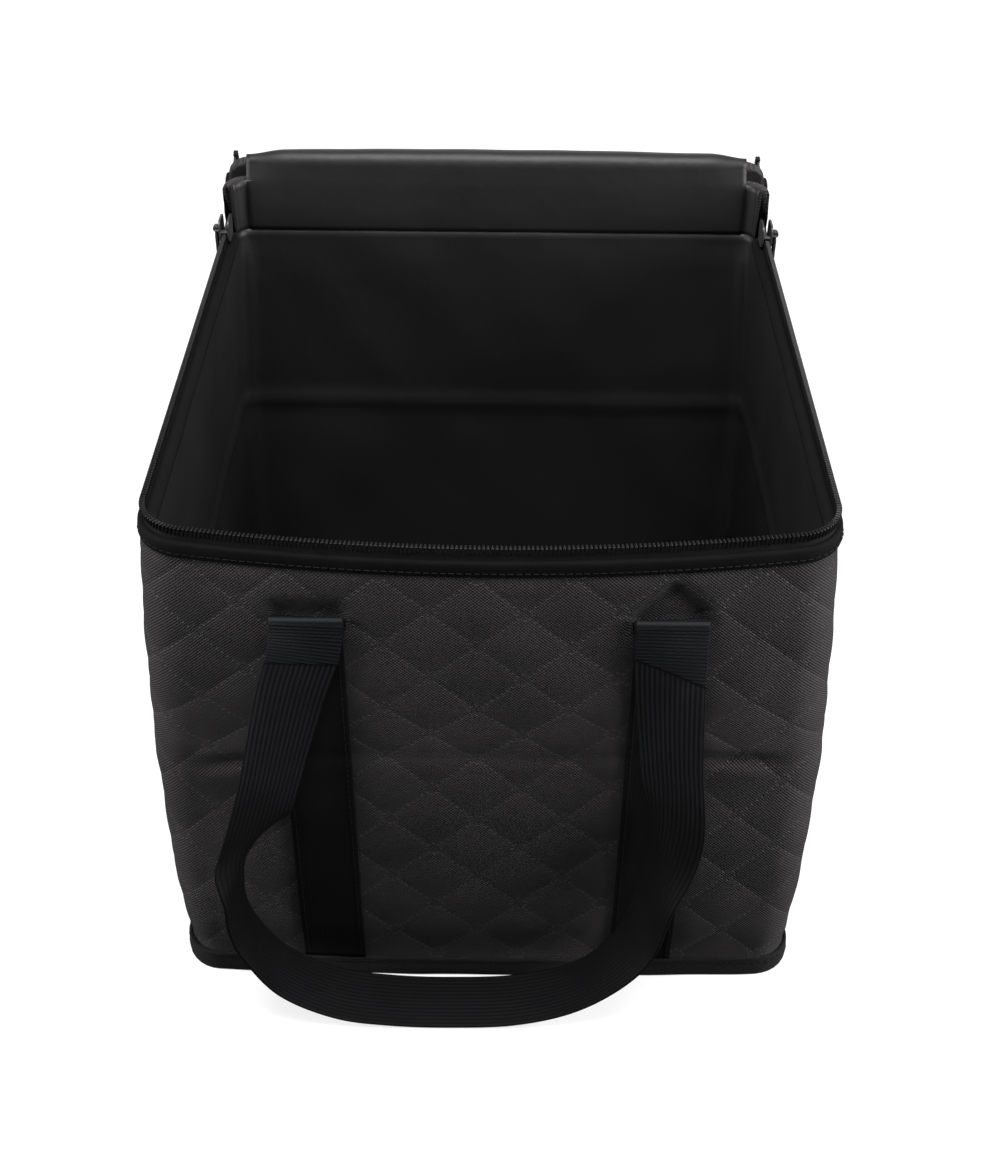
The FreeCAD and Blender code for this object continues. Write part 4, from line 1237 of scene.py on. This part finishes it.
for label, side in SIDES:
    pull_form = bmesh.new()
    hang = side * (ZIP_X + BAIL_OUT)
    top, bottom = BAIL_Z - 0.0011, BAIL_Z - PULL_LENGTH
    middle = Vector((hang, SLIDER_Y, (top + bottom) / 2))
    pressed_plate(pull_form, middle, (PULL_THICKNESS, PULL_WIDTH, top - bottom), 0.0027, 0.0003)
    faces = [face for face in pull_form.faces if abs(face.normal.x) > 0.99 and face.calc_area() > 5e-5]
    bmesh.ops.inset_individual(pull_form, faces=faces, thickness=0.0011, depth=0.0)
    bmesh.ops.inset_individual(pull_form, faces=faces, thickness=0.0002, depth=-0.0003)
    eye = bmesh.new()
    bmesh.ops.create_circle(eye, segments=10, radius=EYE_WALL)
    bmesh.ops.scale(eye, vec=(1, EYE_STRETCH, 1), verts=eye.verts)
    bmesh.ops.translate(eye, vec=(EYE_RADIUS, 0, 0), verts=eye.verts)
    bmesh.ops.spin(eye, geom=eye.verts[:] + eye.edges[:], cent=(0, 0, 0), axis=(0, 1, 0),
                   angle=2 * math.pi, steps=18, use_merge=True)
    bmesh.ops.remove_doubles(eye, verts=eye.verts, dist=1e-7)
    bmesh.ops.recalc_face_normals(eye, faces=eye.faces)
    bmesh.ops.translate(eye, vec=(hang, SLIDER_Y, BAIL_Z), verts=eye.verts)
    add_form(pull_form, eye, "eye")
    finish_piece(label + "_pull_plate", pull_form, painted_metal, label + "_pull",
                 (label + "_pull_tab",), smooth=False)


# Stitching: lockstitch in black polyester thread, along the hem, the base binding, both edges of every
# band and the lid's binding. Each stitch is a short rounded bar that sinks into the cloth at its ends.
STITCH_LENGTH = 0.0027
STITCH_THICK = 0.00055
STITCH_PITCH = 0.0036
STITCH_ROUNDING = 0.00018
BAND_SEAM = 0.0136
LID_SEAMS = ((0.3130, 0.0021), (0.3000, -0.0011))
THREAD_BLACK = (0.0022, 0.0022, 0.0024, 1.0)
THREAD_SHINE = (0.0062, 0.0062, 0.0065, 1.0)

thread_finish = moulded_finish("polyester_thread", THREAD_BLACK, THREAD_SHINE, 0.55, 0.08)


def sew(form, place, along, facing):
    """One stitch, half sunk in the cloth."""
    across = facing.cross(along)
    turned = Matrix((
        along * STITCH_LENGTH, across * STITCH_THICK, facing * STITCH_THICK)).transposed().to_4x4()
    bmesh.ops.create_cube(form, size=1.0, matrix=Matrix.Translation(place) @ turned)


def tie_off(form):
    """Rounds every stitch."""
    round_edges(form, form.edges[:], STITCH_ROUNDING, 1)
    bmesh.ops.recalc_face_normals(form, faces=form.faces)
    return form


def sew_round(form, height, out, end):
    """Line of stitches round the bag at a height, up to a distance round."""
    count = round(2 * end / STITCH_PITCH)
    for stitch in range(count):
        place, facing = on_wall(-end + (stitch + 0.5) * 2 * end / count, height, out)
        sew(form, place, Vector((-facing.y, facing.x, 0)), facing)


hem_thread = bmesh.new()
sew_round(hem_thread, HEM_SEAM, 0.00135, zip_line_end)
finish_piece("hem_stitches", tie_off(hem_thread), thread_finish, "bag")

binding_thread = bmesh.new()
sew_round(binding_thread, BINDING_SEAM, 0.0016, HALF_ROUND)
finish_piece("binding_stitches", tie_off(binding_thread), thread_finish, "bag")

band_thread = bmesh.new()
for face in FACES:
    for label, side in SIDES:
        for edge in (-1, 1):
            count = round((BAND_HIGH - BAND_LOW - 0.004) / STITCH_PITCH)
            for stitch in range(count):
                height = BAND_LOW + 0.003 + stitch * STITCH_PITCH
                place, facing = band_place(face, side, edge * BAND_SEAM, height, 0.0002)
                sew(band_thread, place, Vector((0, 0, 1)), facing)
finish_piece("band_stitches", tie_off(band_thread), thread_finish, "bag")

lid_thread = bmesh.new()
for height, out in LID_SEAMS:
    sew_round(lid_thread, height, out, zip_line_end)
finish_piece("lid_stitches", open_lid(tie_off(lid_thread)), thread_finish, "lid")
